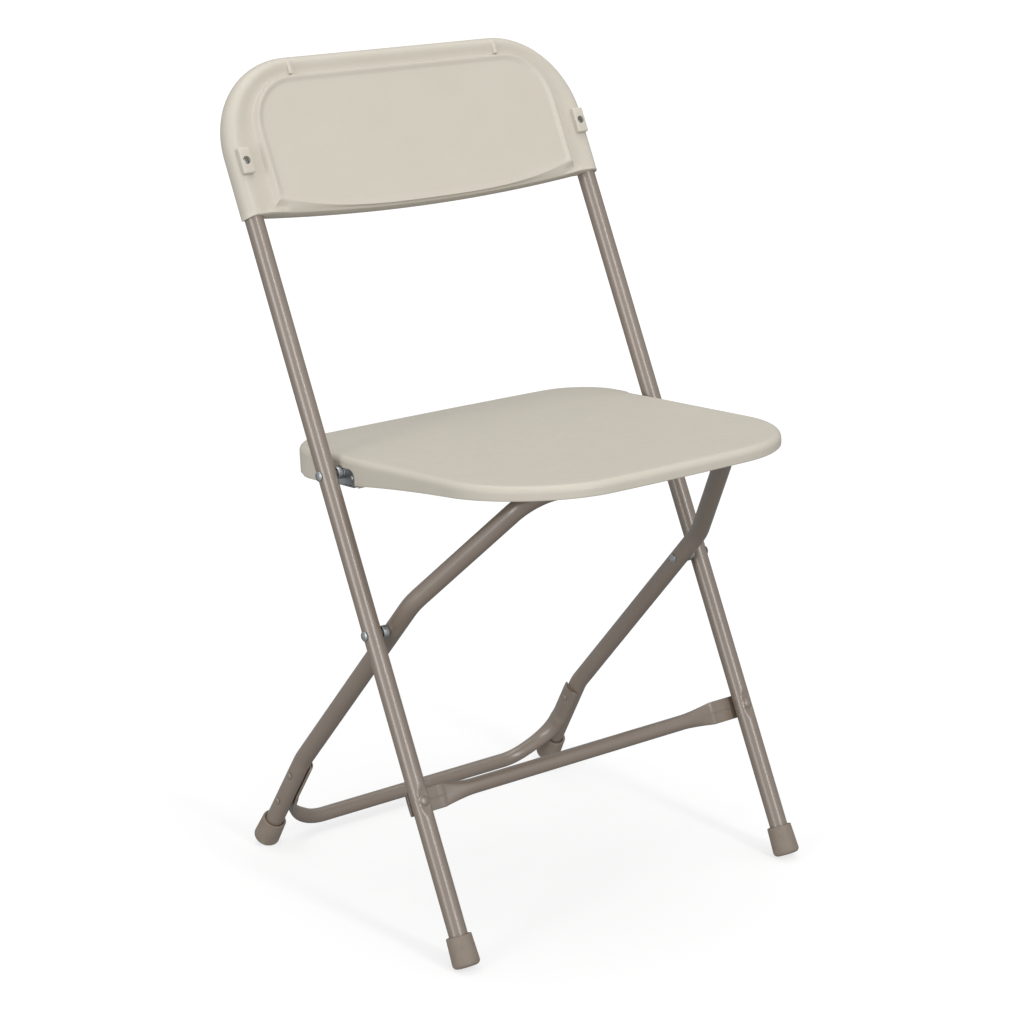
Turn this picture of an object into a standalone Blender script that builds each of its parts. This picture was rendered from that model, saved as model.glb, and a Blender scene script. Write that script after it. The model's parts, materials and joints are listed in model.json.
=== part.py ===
"""Folding chair: a moulded seat and backrest on two frames of round steel tube that cross at a pivot.

Three empties carry the design. front_frame leans back along the uprights, rear_frame turns on
the crossing pivot, and seat_frame turns on the seat pivot. Each piece is modelled in the frame
of the empty that carries it, and the whole chair hangs on one empty that centres it on the floor.
"""

import math

import bmesh
import bpy
from mathutils import Matrix, Vector

MM = 0.001
SIDES = {"left": -1, "right": 1}

# Clearances
GAP = 0.3 * MM  # between pieces that touch
PIN_GAP = 0.3 * MM  # round a rivet or screw in its hole
OVERCUT = 1.0 * MM  # how far a cutter runs past the face it cuts

# Tubes
TUBE_R = 19.05 * MM / 2
BAR_R = 15.9 * MM / 2  # the front brace and the rear spreader
TUBE_WALL = 1.2 * MM
FLAT_THICKNESS = 3.6 * MM  # a tube end pressed flat

# Fasteners
RIVET_R = 3.0 * MM
RIVET_HEAD_R = 5.2 * MM
RIVET_HEAD = 2.4 * MM
SMALL_RIVET_R = 1.6 * MM
SMALL_RIVET_HEAD_R = 2.6 * MM
SMALL_RIVET_HEAD = 1.0 * MM
SCREW_R = 2.0 * MM
SCREW_HEAD_R = 4.4 * MM
SCREW_HEAD = 2.2 * MM
SCREW_LENGTH = 10.0 * MM
SCREW_RECESS = 1.2 * MM
PIVOT_WASHER_R = 6.5 * MM
PIVOT_SPACER = 6.55 * MM  # between an upright and a rear leg
PIVOT_WASHER = 5.775 * MM  # between an upright and a seat bracket

# Front frame, measured up along the uprights from the floor
FRAME_HALF = 214.0 * MM  # half the spacing of the uprights
LEAN = math.radians(26.45)
UPRIGHT_TOP = 840.0 * MM
CROSS_PIVOT_AT = 338.5 * MM
SEAT_PIVOT_AT = 501.5 * MM
BRACE_AT = 169.0 * MM
BRACE_FLAT_HEIGHT = 24.0 * MM
BRACE_FLAT_REACH = 35.0 * MM  # how far in from the upright's centre the end is flat
BRACE_EASE = 39.0 * MM  # the length over which the flat end turns round
BRACE_OVERHANG = 3.0 * MM
BRACE_SET_BACK = 3.0 * MM  # the round part lies this much behind the flat ends
DENT_DEPTH = 2.0 * MM  # the tube gives way round the brace's rivet
DENT_FLAT = 7.0 * MM
DENT_REACH = 18.0 * MM

# Rear frame, measured along the legs
LOWER_LENGTH = 132.6 * MM  # from the floor up to the lower bend
LOWER_BEND = math.radians(10.4)
FOOT_SPLAY = 7.8 * MM
UPPER_BEND_AT = 45.5 * MM  # above the crossing pivot
UPPER_INWARD = math.radians(21.3)
LEG_BEND_R = 60.0 * MM
TOP_BAR_BEND_R = 42.0 * MM

# Rear spreader, measured down along the lower legs from their bend
SPREADER_ABOVE_FLOOR = 17.6 * MM
SPREADER_TOP = 8.0 * MM
SPREADER_BEND_R = 50.0 * MM
SPREADER_RIVETS_AT = (24.0 * MM, 64.0 * MM)
SADDLE_ANGLE = math.radians(62)
SADDLE_POWER = 0.35  # how square the pressed section's ends are
SADDLE_EASE = 12.0 * MM

# Foot caps
CAP_TOP_WALL = 3.375 * MM
CAP_FOOT_WALL = 4.375 * MM
CAP_HEIGHT = 31.0 * MM
CAP_FLOOR = 6.0 * MM  # rubber under the tube's end
CAP_FLAT = 2.6 * MM  # worn flat by the floor
CAP_LIP = 1.2 * MM

# Seat, measured from the seat pivot: forward, back and up
SEAT_TILT = math.radians(4.0)
SEAT_FRONT = 278.0 * MM
SEAT_REAR = 106.0 * MM
SEAT_TOP = 16.5 * MM
SEAT_FRONT_TAPER = 3.0 * MM  # the front edge is narrower than the pivot, each side
SEAT_REAR_FLARE = 4.0 * MM  # and the rear is wider
SEAT_WALL = 3.0 * MM
SEAT_FRONT_R = 108.0 * MM
SEAT_REAR_R = 60.0 * MM
SEAT_BOW = 8.0 * MM  # how far the front edge curves forward in the middle
SEAT_EDGE_R = 7.0 * MM
SEAT_TOP_SHARE = 0.4  # the top's inner ring, as a share of its outline
SEAT_SIDE_AHEAD = 8.0 * MM  # the taper ends this far ahead of the bracket
SEAT_SIDE_BEHIND = 2.0 * MM  # and the flare starts this far behind it
SEAT_FLARE_LENGTH = 8.0 * MM
SKIRT_FRONT = 13.5 * MM
SKIRT_REAR = 30.0 * MM
SKIRT_CHAMFER = 0.8 * MM

# Seat bracket and the block behind it
BRACKET_FRONT = 24.0 * MM
BRACKET_REAR = 20.0 * MM
BRACKET_TOP = 5.0 * MM
BRACKET_BOTTOM = -13.0 * MM
BRACKET_FRONT_CORNER = 8.0 * MM
BRACKET_CORNER = 3.0 * MM
BRACKET_THICKNESS = 1.8 * MM
BRACKET_RIM = 1.5 * MM
BRACKET_DEPTH = 4.6 * MM
BRACKET_INSET = 0.4 * MM  # the rim lies this far inside the seat's side
BRACKET_RIVET_INSET = 6.5 * MM
BRACKET_RIVET_Z = -4.0 * MM
BLOCK_THICKNESS = 9.0 * MM
BLOCK_MARGIN = 2.0 * MM
RECESS_OVERRUN = 10.0 * MM  # the pivot's recess runs well out past the skirt
LEG_NOTCH_HALF = 17.0 * MM
LEG_NOTCH_UP = 2.0 * MM
LEG_NOTCH_FORWARD = 57.0 * MM
LEG_NOTCH_BACK = 20.0 * MM

# Seat guides for the rear frame's top bar
GUIDE_AT = 50.0 * MM
GUIDE_WIDTH = 14.0 * MM
GUIDE_RAIL = 5.0 * MM
GUIDE_REAR = 40.0 * MM
GUIDE_SET_BACK = 10.0 * MM  # behind the seat's front edge
GUIDE_NOSE = 6.0 * MM
GUIDE_STOP_DROP = 13.0 * MM
GUIDE_STOP = 8.0 * MM
GUIDE_STOP_EDGE = 3.0 * MM
TOP_BAR_SET_BACK = 67.9 * MM  # behind the seat's front edge, with the chair open
GLIDE_WALL = 2.4 * MM
GLIDE_WIDTH = 18.0 * MM

# Backrest: along the uprights, and forward of their centre plane
BACK_ABOVE_TUBE = 87.0 * MM
BACK_SLEEVE = 74.0 * MM  # how much of the upright the backrest covers
SOCKET_SPARE = 6.0 * MM  # room above the upright's end
SOCKET_BELOW = 10.0 * MM  # how far its cutter starts below the backrest
BOSS_PROUD = 1.0 * MM  # the screw's seat above the band
SCREW_BORE = 30.0 * MM  # how deep the cutters for the screw and its head run
HEAD_BORE = 20.0 * MM
BACK_SIDE_WALL = 4.175 * MM
BACK_CORNER_R = 95.0 * MM
BACK_SLEEVE_WIDTH = 26.0 * MM
BACK_BOW = 9.0 * MM
BACK_WALL = 3.0 * MM
VALLEY_INSET = 27.0 * MM
VALLEY_TOP_INSET = 19.0 * MM
VALLEY_RISE = 9.5 * MM
PANEL_INSET = 39.0 * MM
PANEL_TOP_INSET = 24.0 * MM
PANEL_BOTTOM_UP = 14.0 * MM  # above the sleeves' ends
PANEL_BOW = 19.0 * MM
PANEL_CORNER_R = 52.0 * MM
PANEL_RISE = 16.0 * MM
BACK_SCREW_DOWN = 18.0 * MM  # below the upright's top
BOSS_SIZE = (15.0 * MM, 28.0 * MM)
BOSS_RISE = 17.5 * MM
RIB_AT = 131.0 * MM
RIB_SIZE = (3.5 * MM, 13.0 * MM)

# Worked out from the values above
BRACE_FLAT_FROM = FRAME_HALF - BRACE_FLAT_REACH
BRACE_ROUND_TO = BRACE_FLAT_FROM - BRACE_EASE
REAR_HALF = FRAME_HALF - 2 * TUBE_R - PIVOT_SPACER - 2 * GAP
CAP_TOP_R = TUBE_R + CAP_TOP_WALL
CAP_FOOT_R = TUBE_R + CAP_FOOT_WALL
BRACKET_OUTER = FRAME_HALF - TUBE_R - PIVOT_WASHER - 2 * GAP
BRACKET_FACE = BRACKET_OUTER - BRACKET_DEPTH + BRACKET_THICKNESS
BRACKET_INNER = BRACKET_FACE - BRACKET_THICKNESS
SEAT_SIDE_HALF = BRACKET_OUTER + BRACKET_INSET
SEAT_FRONT_HALF = SEAT_SIDE_HALF - SEAT_FRONT_TAPER
SEAT_REAR_HALF = SEAT_SIDE_HALF + SEAT_REAR_FLARE
SPREADER_AT = LOWER_LENGTH - SPREADER_ABOVE_FLOOR
BACK_HALF = FRAME_HALF + TUBE_R + GAP + BACK_SIDE_WALL
BACK_TOP = UPRIGHT_TOP + BACK_ABOVE_TUBE
BACK_SLEEVE_END = UPRIGHT_TOP - BACK_SLEEVE
BACK_SCREW_AT = UPRIGHT_TOP - BACK_SCREW_DOWN
BAND_RISE = TUBE_R + BACK_WALL
PANEL_BOTTOM = BACK_SLEEVE_END + PANEL_BOTTOM_UP

TUBE_SIDES = 18
PIN_SIDES = 12
CAP_SIDES = 24
SOCKET_SIDES = 28

COLOURS = {
    "plastic": ((0.60, 0.555, 0.475, 1.0), 0.48, 0.0),
    "frame_paint": ((0.255, 0.205, 0.160, 1.0), 0.38, 0.3),
    "zinc": ((0.52, 0.56, 0.60, 1.0), 0.32, 1.0),
    "cap_rubber": ((0.190, 0.155, 0.122, 1.0), 0.62, 0.0),
    "guide_plastic": ((0.33, 0.31, 0.28, 1.0), 0.5, 0.0),
}


def clear_scene():
    for obj in list(bpy.data.objects):
        bpy.data.objects.remove(obj, do_unlink=True)


def material_for(node, finish):
    """Each sub-part has a material of its own, with the colour of its finish."""
    colour, roughness, metallic = COLOURS[finish]
    material = bpy.data.materials.new(node)
    material.use_nodes = True
    shader = material.node_tree.nodes["Principled BSDF"]
    shader.inputs["Base Color"].default_value = colour
    shader.inputs["Roughness"].default_value = roughness
    shader.inputs["Metallic"].default_value = metallic
    return material


def add_empty(name, parent=None, location=(0, 0, 0), turn_x=0.0):
    empty = bpy.data.objects.new(name, None)
    empty.empty_display_size = 30 * MM
    empty.parent = parent
    empty.location = location
    empty.rotation_euler = (turn_x, 0, 0)
    bpy.context.scene.collection.objects.link(empty)
    return empty


def add_piece(name, mesh, finish, parent, location=(0, 0, 0), rotation=(0, 0, 0)):
    mesh.name = name
    mesh.materials.append(material_for(name, finish))
    mesh.shade_smooth()
    mesh.set_sharp_from_angle(angle=math.radians(38))
    piece = bpy.data.objects.new(name, mesh)
    piece.parent = parent
    piece.location = location
    piece.rotation_euler = rotation
    bpy.context.scene.collection.objects.link(piece)
    return piece


def add_cutter(name, mesh, target, operation="DIFFERENCE", location=(0, 0, 0), rotation=(0, 0, 0)):
    """A hidden shape that a Boolean takes from, or joins to, the target."""
    cutter = bpy.data.objects.new(name, mesh)
    cutter.parent = target.parent
    cutter.location = location
    cutter.rotation_euler = rotation
    cutter.hide_render = True
    cutter.display_type = "WIRE"
    bpy.context.scene.collection.objects.link(cutter)
    modifier = target.modifiers.new(name, "BOOLEAN")
    modifier.operation = operation
    modifier.solver = "EXACT"
    modifier.object = cutter
    return cutter


def mesh_of(shape):
    bmesh.ops.recalc_face_normals(shape, faces=shape.faces)
    mesh = bpy.data.meshes.new("shape")
    shape.to_mesh(mesh)
    shape.free()
    return mesh


def skin(rings, wrap=False):
    """A closed mesh through rings of points. A ring at one point becomes a pole.

    With wrap the last ring joins the first, as in a hollow tube. Otherwise flat faces close it.
    """
    shape = bmesh.new()
    rows = []
    for ring in rings:
        if max((point - ring[0]).length for point in ring) < 1e-7:
            rows.append([shape.verts.new(ring[0])] * len(ring))
        else:
            rows.append([shape.verts.new(point) for point in ring])
    pairs = list(zip(rows, rows[1:]))
    if wrap:
        pairs.append((rows[-1], rows[0]))
    for low, high in pairs:
        for i in range(len(low)):
            j = (i + 1) % len(low)
            corners = list(dict.fromkeys([low[i], low[j], high[j], high[i]]))
            if len(corners) > 2:
                shape.faces.new(corners)
    if not wrap:
        for row in (rows[0], rows[-1]):
            if row[0] is not row[1]:
                shape.faces.new(row)
    return mesh_of(shape)


def turned(profile, sides, wrap=False, phase=0.0):
    """A turned solid about Z, from (radius, height) points, its first corner at the phase angle."""
    rings = []
    for radius, height in profile:
        turns = [2 * math.pi * i / sides + phase for i in range(sides)]
        rings.append([Vector((radius * math.cos(a), radius * math.sin(a), height)) for a in turns])
    return skin(rings, wrap)


def box(low, high):
    shape = bmesh.new()
    bmesh.ops.create_cube(shape, size=1.0)
    low, high = Vector(low), Vector(high)
    for vert in shape.verts:
        vert.co = Vector(((low[i] + high[i]) / 2 + vert.co[i] * (high[i] - low[i])) for i in range(3))
    return mesh_of(shape)


def prism(outline, low, high):
    """The (y, z) outline carried along X from low to high."""
    rings = [[Vector((x, y, z)) for y, z in outline] for x in (low, high)]
    return skin(rings)


def rounded_rectangle(low, high, radii, steps=5):
    """(y, z) points of a rectangle, its corners rounded in the order of low-low, high-low, ..."""
    (y0, z0), (y1, z1) = low, high
    corners = ((y0, z0, 1, 1), (y1, z0, -1, 1), (y1, z1, -1, -1), (y0, z1, 1, -1))
    points = []
    for index, ((y, z, inward_y, inward_z), radius) in enumerate(zip(corners, radii)):
        centre_y, centre_z = y + inward_y * radius, z + inward_z * radius
        for i in range(steps + 1):
            angle = math.pi + math.pi / 2 * (index + i / steps)
            point = (centre_y + radius * math.cos(angle), centre_z + radius * math.sin(angle))
            if not points or math.dist(point, points[-1]) > 1e-6:
                points.append(point)
    return points


def rounded_path(corners, radii, step=math.radians(11)):
    """The polyline through corners, with each inner corner turned into an arc."""
    points = [corners[0]]
    for before, corner, after, radius in zip(corners, corners[1:], corners[2:], radii):
        inward = (corner - before).normalized()
        outward = (after - corner).normalized()
        turn = inward.angle(outward)
        centre = corner + (outward - inward).normalized() * radius / math.cos(turn / 2)
        start = corner - inward * radius * math.tan(turn / 2)
        axis = inward.cross(outward).normalized()
        steps = max(3, round(turn / step))
        for i in range(steps + 1):
            swing = Matrix.Rotation(turn * i / steps, 3, axis)
            points.append(centre + swing @ (start - centre))
    points.append(corners[-1])
    return points


def frames_along(points, across):
    """(point, sideways, upward) at each point, with the first sideways direction given."""
    frames = []
    for i, point in enumerate(points):
        before = points[max(i - 1, 0)]
        after = points[min(i + 1, len(points) - 1)]
        along = (after - before).normalized()
        across = (across - along * across.dot(along)).normalized()
        frames.append((point, across.copy(), along.cross(across)))
    return frames


def pipe(points, radius, across=Vector((0, 1, 0))):
    """A hollow round tube along the points, open at both ends."""
    rings = []
    frames = frames_along(points, across)
    for r, walk in ((radius, frames), (radius - TUBE_WALL, reversed(frames))):
        for point, side, up in walk:
            turns = [2 * math.pi * i / TUBE_SIDES for i in range(TUBE_SIDES)]
            rings.append([point + side * (r * math.cos(a)) + up * (r * math.sin(a)) for a in turns])
    return skin(rings, wrap=True)


def smooth_step(value, low, high):
    share = min(max((value - low) / (high - low), 0.0), 1.0)
    return share * share * (3 - 2 * share)


def rivet_mesh(grip, sides=PIN_SIDES):
    """A domed rivet on +X: its set head inside at x = 0 and its dome outside past x = grip."""
    dome = [(RIVET_HEAD_R, grip)]
    for i in range(1, 4):
        angle = math.pi / 2 * i / 3
        dome.append((RIVET_HEAD_R * math.cos(angle), grip + RIVET_HEAD * math.sin(angle)))
    tail = [(0, -RIVET_HEAD * 0.8), (RIVET_HEAD_R * 0.75, -RIVET_HEAD * 0.6), (RIVET_HEAD_R * 0.95, 0)]
    profile = tail + [(RIVET_R, 0), (RIVET_R, grip)] + dome
    profile[-1] = (0, grip + RIVET_HEAD)
    return turned(profile, sides)


def ring_mesh(inner, outer, length, sides=PIN_SIDES):
    profile = [(inner, 0), (outer, 0), (outer, length), (inner, length)]
    return turned(profile, sides, wrap=True)


def drill(target, name, location, rotation, radius, length):
    """A round hole from location along the turned Z axis."""
    profile = [(0, 0), (radius, 0), (radius, length), (0, length)]
    mesh = turned(profile, PIN_SIDES, phase=math.radians(8))
    return add_cutter(name, mesh, target, "DIFFERENCE", location, rotation)


def facing(side):
    """The rotation that turns +Z outwards along X on that side."""
    return (0, side * math.pi / 2, 0)


FORWARD = (math.pi / 2, 0, 0)  # turns +Z to -Y


def along_uprights(distance):
    """The point that far up the uprights' line, in the chair's upright frame."""
    return Vector((0, distance * math.sin(LEAN), distance * math.cos(LEAN)))


def top_bar_in_seat():
    """(y, z) of the rear frame's top bar in the seat's frame: under the rails, behind the front edge."""
    hang = SEAT_WALL + GUIDE_RAIL + 3 * GAP + GLIDE_WALL + TUBE_R
    return TOP_BAR_SET_BACK - SEAT_FRONT, SEAT_TOP - hang


def rear_reach():
    """The top bar's place as seen from the crossing pivot, with the chair open."""
    y, z = top_bar_in_seat()
    bar = Matrix.Rotation(-SEAT_TILT, 3, "X") @ Vector((0, y, z))
    return along_uprights(SEAT_PIVOT_AT - CROSS_PIVOT_AT) + bar


def rear_angle():
    """How far the rear legs lean from upright above their lower bend."""
    reach = rear_reach()
    return math.atan2(-reach.y, reach.z)


def rear_foot_lean():
    """The same below their lower bend."""
    return rear_angle() - LOWER_BEND


def lower_bend_at():
    """How far below the crossing pivot the legs bend, so that their feet meet the floor."""
    height = along_uprights(CROSS_PIVOT_AT).z - LOWER_LENGTH * math.cos(rear_foot_lean())
    return height / math.cos(rear_angle())


# Front frame


def upright_mesh():
    """A straight tube, dented at its front where the brace's rivet pulls on it."""
    shares = (-1.1, -0.9, -0.67, -0.45, -0.22, 0.22, 0.45, 0.67, 0.9, 1.1)
    near = [BRACE_AT + DENT_REACH * share for share in shares]
    heights = [CAP_FLOOR + foot_raise(LEAN) + GAP] + near + [UPRIGHT_TOP]
    rings = []
    for r, walk in ((TUBE_R, heights), (TUBE_R - TUBE_WALL, reversed(heights))):
        for z in walk:
            dent = DENT_DEPTH * (1 - smooth_step(abs(z - BRACE_AT), DENT_FLAT, DENT_REACH))
            front = -r + dent
            ring = []
            for i in range(TUBE_SIDES):
                angle = 2 * math.pi * (i + 0.5) / TUBE_SIDES
                ring.append(Vector((r * math.cos(angle), max(r * math.sin(angle), front), z)))
            rings.append(ring)
    return skin(rings, wrap=True)


def make_uprights(frame):
    for side_name, side in SIDES.items():
        place = (side * FRAME_HALF, 0, 0)
        upright = add_piece(f"upright_{side_name}", upright_mesh(), "frame_paint", frame, place)
        reach = 2 * TUBE_R + 2 * OVERCUT
        for label, at in (("cross", CROSS_PIVOT_AT), ("seat", SEAT_PIVOT_AT)):
            start = (side * (FRAME_HALF - TUBE_R - OVERCUT), 0, at)
            drill(upright, f"{label}_hole_{side_name}", start, facing(side), RIVET_R + PIN_GAP, reach)
        start = (side * FRAME_HALF, TUBE_R + OVERCUT, BRACE_AT)
        drill(upright, f"brace_hole_{side_name}", start, FORWARD, RIVET_R + PIN_GAP, reach)
        start = (side * FRAME_HALF, 0, BACK_SCREW_AT)
        drill(upright, f"screw_hole_{side_name}", start, FORWARD, SCREW_R + PIN_GAP, reach)


def flattened_ring(x, share, radius, centre_y):
    """A round section at share 0, pressed to a flat plate at share 1."""
    half_height = radius + (BRACE_FLAT_HEIGHT / 2 - (BAR_R - radius) - radius) * share
    half_depth = radius + (FLAT_THICKNESS / 2 - (BAR_R - radius) - radius) * share
    power = 1 - 0.65 * share
    ring = []
    for i in range(TUBE_SIDES):
        angle = 2 * math.pi * (i + 0.5) / TUBE_SIDES
        depth = math.copysign(abs(math.cos(angle)) ** power, math.cos(angle))
        ring.append(Vector((x, centre_y + half_depth * depth, half_height * math.sin(angle))))
    return ring


def brace_mesh():
    end = FRAME_HALF + TUBE_R + BRACE_OVERHANG
    stations = [end, FRAME_HALF, BRACE_FLAT_FROM]
    steps = 6
    for i in range(1, steps + 1):
        stations.append(BRACE_FLAT_FROM + (BRACE_ROUND_TO - BRACE_FLAT_FROM) * i / steps)
    stations = [-x for x in stations] + stations[::-1]
    flat_centre = TUBE_R + GAP + FLAT_THICKNESS / 2
    round_centre = flat_centre + BRACE_SET_BACK
    rings = []
    for radius, walk in ((BAR_R, stations), (BAR_R - TUBE_WALL, stations[::-1])):
        for x in walk:
            share = smooth_step(abs(x), BRACE_ROUND_TO, BRACE_FLAT_FROM)
            centre = round_centre + (flat_centre - round_centre) * share
            rings.append(flattened_ring(x, share, radius, centre))
    return skin(rings, wrap=True)


def make_front_brace(frame):
    brace = add_piece("front_brace", brace_mesh(), "frame_paint", frame, (0, 0, BRACE_AT))
    grip = TUBE_R - DENT_DEPTH + TUBE_R + FLAT_THICKNESS + 3 * GAP
    rear = TUBE_R + FLAT_THICKNESS + 2 * GAP
    for side_name, side in SIDES.items():
        start = (side * FRAME_HALF, rear + OVERCUT, BRACE_AT)
        depth = FLAT_THICKNESS + 2 * GAP + 2 * OVERCUT
        drill(brace, f"brace_end_hole_{side_name}", start, FORWARD, RIVET_R + PIN_GAP, depth)
        place = (side * FRAME_HALF, rear, BRACE_AT)
        name = f"front_brace_rivet_{side_name}"
        add_piece(name, rivet_mesh(grip), "frame_paint", frame, place, FORWARD)


def foot_raise(lean):
    """How far up the tube's line the bottom of a leaning cap stands, with its flat on the floor."""
    return (CAP_FOOT_R * math.sin(lean) - CAP_FLAT) / math.cos(lean)


def cap_mesh(to_world):
    """A turned cup, its lowest rim cut flat by the floor."""
    bore = TUBE_R + GAP
    lip = CAP_LIP
    profile = [
        (0, 0),
        (CAP_FOOT_R - 2 * lip, 0),
        (CAP_FOOT_R - 0.6 * lip, 0.6 * lip),
        (CAP_FOOT_R, 2 * lip),
        (CAP_TOP_R, CAP_HEIGHT - lip),
        (CAP_TOP_R - 0.6 * lip, CAP_HEIGHT),
        (bore + 0.5 * lip, CAP_HEIGHT),
        (bore, CAP_HEIGHT - lip),
        (bore, CAP_FLOOR),
        (0, CAP_FLOOR),
    ]
    mesh = turned(profile, CAP_SIDES)
    shape = bmesh.new()
    shape.from_mesh(mesh)
    to_local = to_world.inverted()
    everything = shape.verts[:] + shape.edges[:] + shape.faces[:]
    cut = bmesh.ops.bisect_plane(
        shape,
        geom=everything,
        plane_co=to_local @ Vector((0, 0, 0)),
        plane_no=to_world.to_3x3().transposed() @ Vector((0, 0, 1)),
        clear_inner=True,
    )
    rim = [item for item in cut["geom_cut"] if isinstance(item, bmesh.types.BMEdge)]
    bmesh.ops.edgeloop_fill(shape, edges=rim)
    return mesh_of(shape)


def make_cap(name, frame, location, rotation):
    """A cap whose own Z axis runs up the tube from the cap's bottom."""
    bpy.context.view_layer.update()
    turn = Matrix.LocRotScale(Vector(location), None, None) @ rotation_matrix(rotation)
    mesh = cap_mesh(frame.matrix_world @ turn)
    add_piece(name, mesh, "cap_rubber", frame, location, rotation)


def rotation_matrix(rotation):
    x, y, z = rotation
    return Matrix.Rotation(z, 4, "Z") @ Matrix.Rotation(y, 4, "Y") @ Matrix.Rotation(x, 4, "X")


def make_front_caps(frame):
    for side_name, side in SIDES.items():
        place = (side * FRAME_HALF, 0, foot_raise(LEAN))
        make_cap(f"front_foot_cap_{side_name}", frame, place, (0, 0, 0))


def make_cross_pivots(frame):
    """The rivet through each upright and rear leg, with the spacer between them."""
    inner = REAR_HALF - TUBE_R - GAP
    outer = FRAME_HALF + TUBE_R + GAP
    spacer_at = REAR_HALF + TUBE_R + GAP
    for side_name, side in SIDES.items():
        turn = facing(side)
        rivet = rivet_mesh(outer - inner)
        place = (side * inner, 0, CROSS_PIVOT_AT)
        add_piece(f"cross_pivot_rivet_{side_name}", rivet, "zinc", frame, place, turn)
        spacer = ring_mesh(RIVET_R + PIN_GAP, PIVOT_WASHER_R, PIVOT_SPACER)
        place = (side * spacer_at, 0, CROSS_PIVOT_AT)
        add_piece(f"cross_pivot_spacer_{side_name}", spacer, "zinc", frame, place, turn)


def make_seat_pivots(frame):
    """The rivet through each upright and seat bracket, with the washer between them."""
    inner = BRACKET_INNER - GAP
    outer = FRAME_HALF + TUBE_R + GAP
    for side_name, side in SIDES.items():
        turn = facing(side)
        rivet = rivet_mesh(outer - inner)
        place = (side * inner, 0, SEAT_PIVOT_AT)
        add_piece(f"seat_pivot_rivet_{side_name}", rivet, "zinc", frame, place, turn)
        washer = ring_mesh(RIVET_R + PIN_GAP, PIVOT_WASHER_R, PIVOT_WASHER)
        place = (side * (BRACKET_OUTER + GAP), 0, SEAT_PIVOT_AT)
        add_piece(f"seat_pivot_washer_{side_name}", washer, "zinc", frame, place, turn)


# Backrest

BOTTOM_SHARES = (1.0, 0.90, 0.875, 0.75, 0.6, 0.4, 0.2, 0.0)
TOP_SHARES = (0.6, 0.2, -0.2, -0.6)
SLEEVE_POINTS = 3  # points of the bottom edge that lie on each sleeve
CORNER_STEPS = 8
REAR_FACE_SHARES = (0.3, 0.88)  # the rear face's rings, as shares of its outline
PANEL_SHARES = (0.965, 0.55)
EDGE_RISES = (0.3, 0.75)  # the outer edge's rounding, as shares of the band's rise
SHOULDER_INSET = 2.0 * MM
BAND_INSET = 7.0 * MM
LIP_RISES = (3.0 * MM, 7.0 * MM, 10.0 * MM, 12.0 * MM, 13.0 * MM, 14.5 * MM)  # along the bottom edge
VALLEY_DROP = 9.0 * MM  # the valley's bottom edge below the panel's
FOOT_DROP = 5.0 * MM  # the same for the crest's foot
FOOT_OUT = 6.0 * MM  # the crest's foot outside its top
FOOT_OUT_TOP = 2.0 * MM
CREST_FALL = 2.0 * MM  # the crest's outer edge below the panel
PANEL_DISH = 1.0 * MM


def back_loop(half, bottom, top, radius, bow, sleeve):
    """(x, z) points of one level of the backrest: bottom edge, side, corner, top and round again.

    The bottom hangs lower in the middle by bow. With a sleeve width, it is straight across the sleeves.
    """
    points = []
    shares = list(BOTTOM_SHARES) + [-s for s in BOTTOM_SHARES[-2::-1]]
    for share in (-s for s in shares):
        x = half * share
        middle = half - sleeve
        fall = bow * max(0.0, 1 - (x / middle) ** 2)
        points.append((x, bottom - fall))
    for i in range(1, 3):
        points.append((half, bottom + (top - radius - bottom) * i / 3))
    for i in range(CORNER_STEPS + 1):
        angle = math.pi / 2 * i / CORNER_STEPS
        points.append((half - radius + radius * math.cos(angle), top - radius + radius * math.sin(angle)))
    run = half - radius
    for share in TOP_SHARES:
        points.append((run * share, top))
    for i in range(CORNER_STEPS + 1):
        angle = math.pi / 2 + math.pi / 2 * i / CORNER_STEPS
        points.append((radius - half + radius * math.cos(angle), top - radius + radius * math.sin(angle)))
    for i in range(1, 3):
        points.append((-half, top - radius - (top - radius - bottom) * i / 3))
    return points


def outer_loop(inset):
    return back_loop(
        BACK_HALF - inset,
        BACK_SLEEVE_END + min(inset, BACK_WALL),
        BACK_TOP - inset,
        BACK_CORNER_R - inset,
        BACK_BOW,
        BACK_SLEEVE_WIDTH,
    )


def panel_loop(inset, top_inset, bottom, bow, radius):
    return back_loop(BACK_HALF - inset, bottom, BACK_TOP - top_inset, radius, bow, 0.0)


def shrunk(loop, share):
    """The loop drawn in towards the middle of the panel."""
    middle = (BACK_TOP + BACK_SLEEVE_END) / 2
    return [(x * share, middle + (z - middle) * share) for x, z in loop]


def level(loop, rise, bottom_rise=None):
    """The loop lifted forward by rise, or by bottom_rise along the middle of its bottom edge."""
    count = 2 * len(BOTTOM_SHARES) - 1
    ring = []
    for i, (x, z) in enumerate(loop):
        on_bottom = SLEEVE_POINTS <= i < count - SLEEVE_POINTS
        lift = bottom_rise if bottom_rise is not None and on_bottom else rise
        ring.append(Vector((x, -lift, z)))
    return ring


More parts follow.
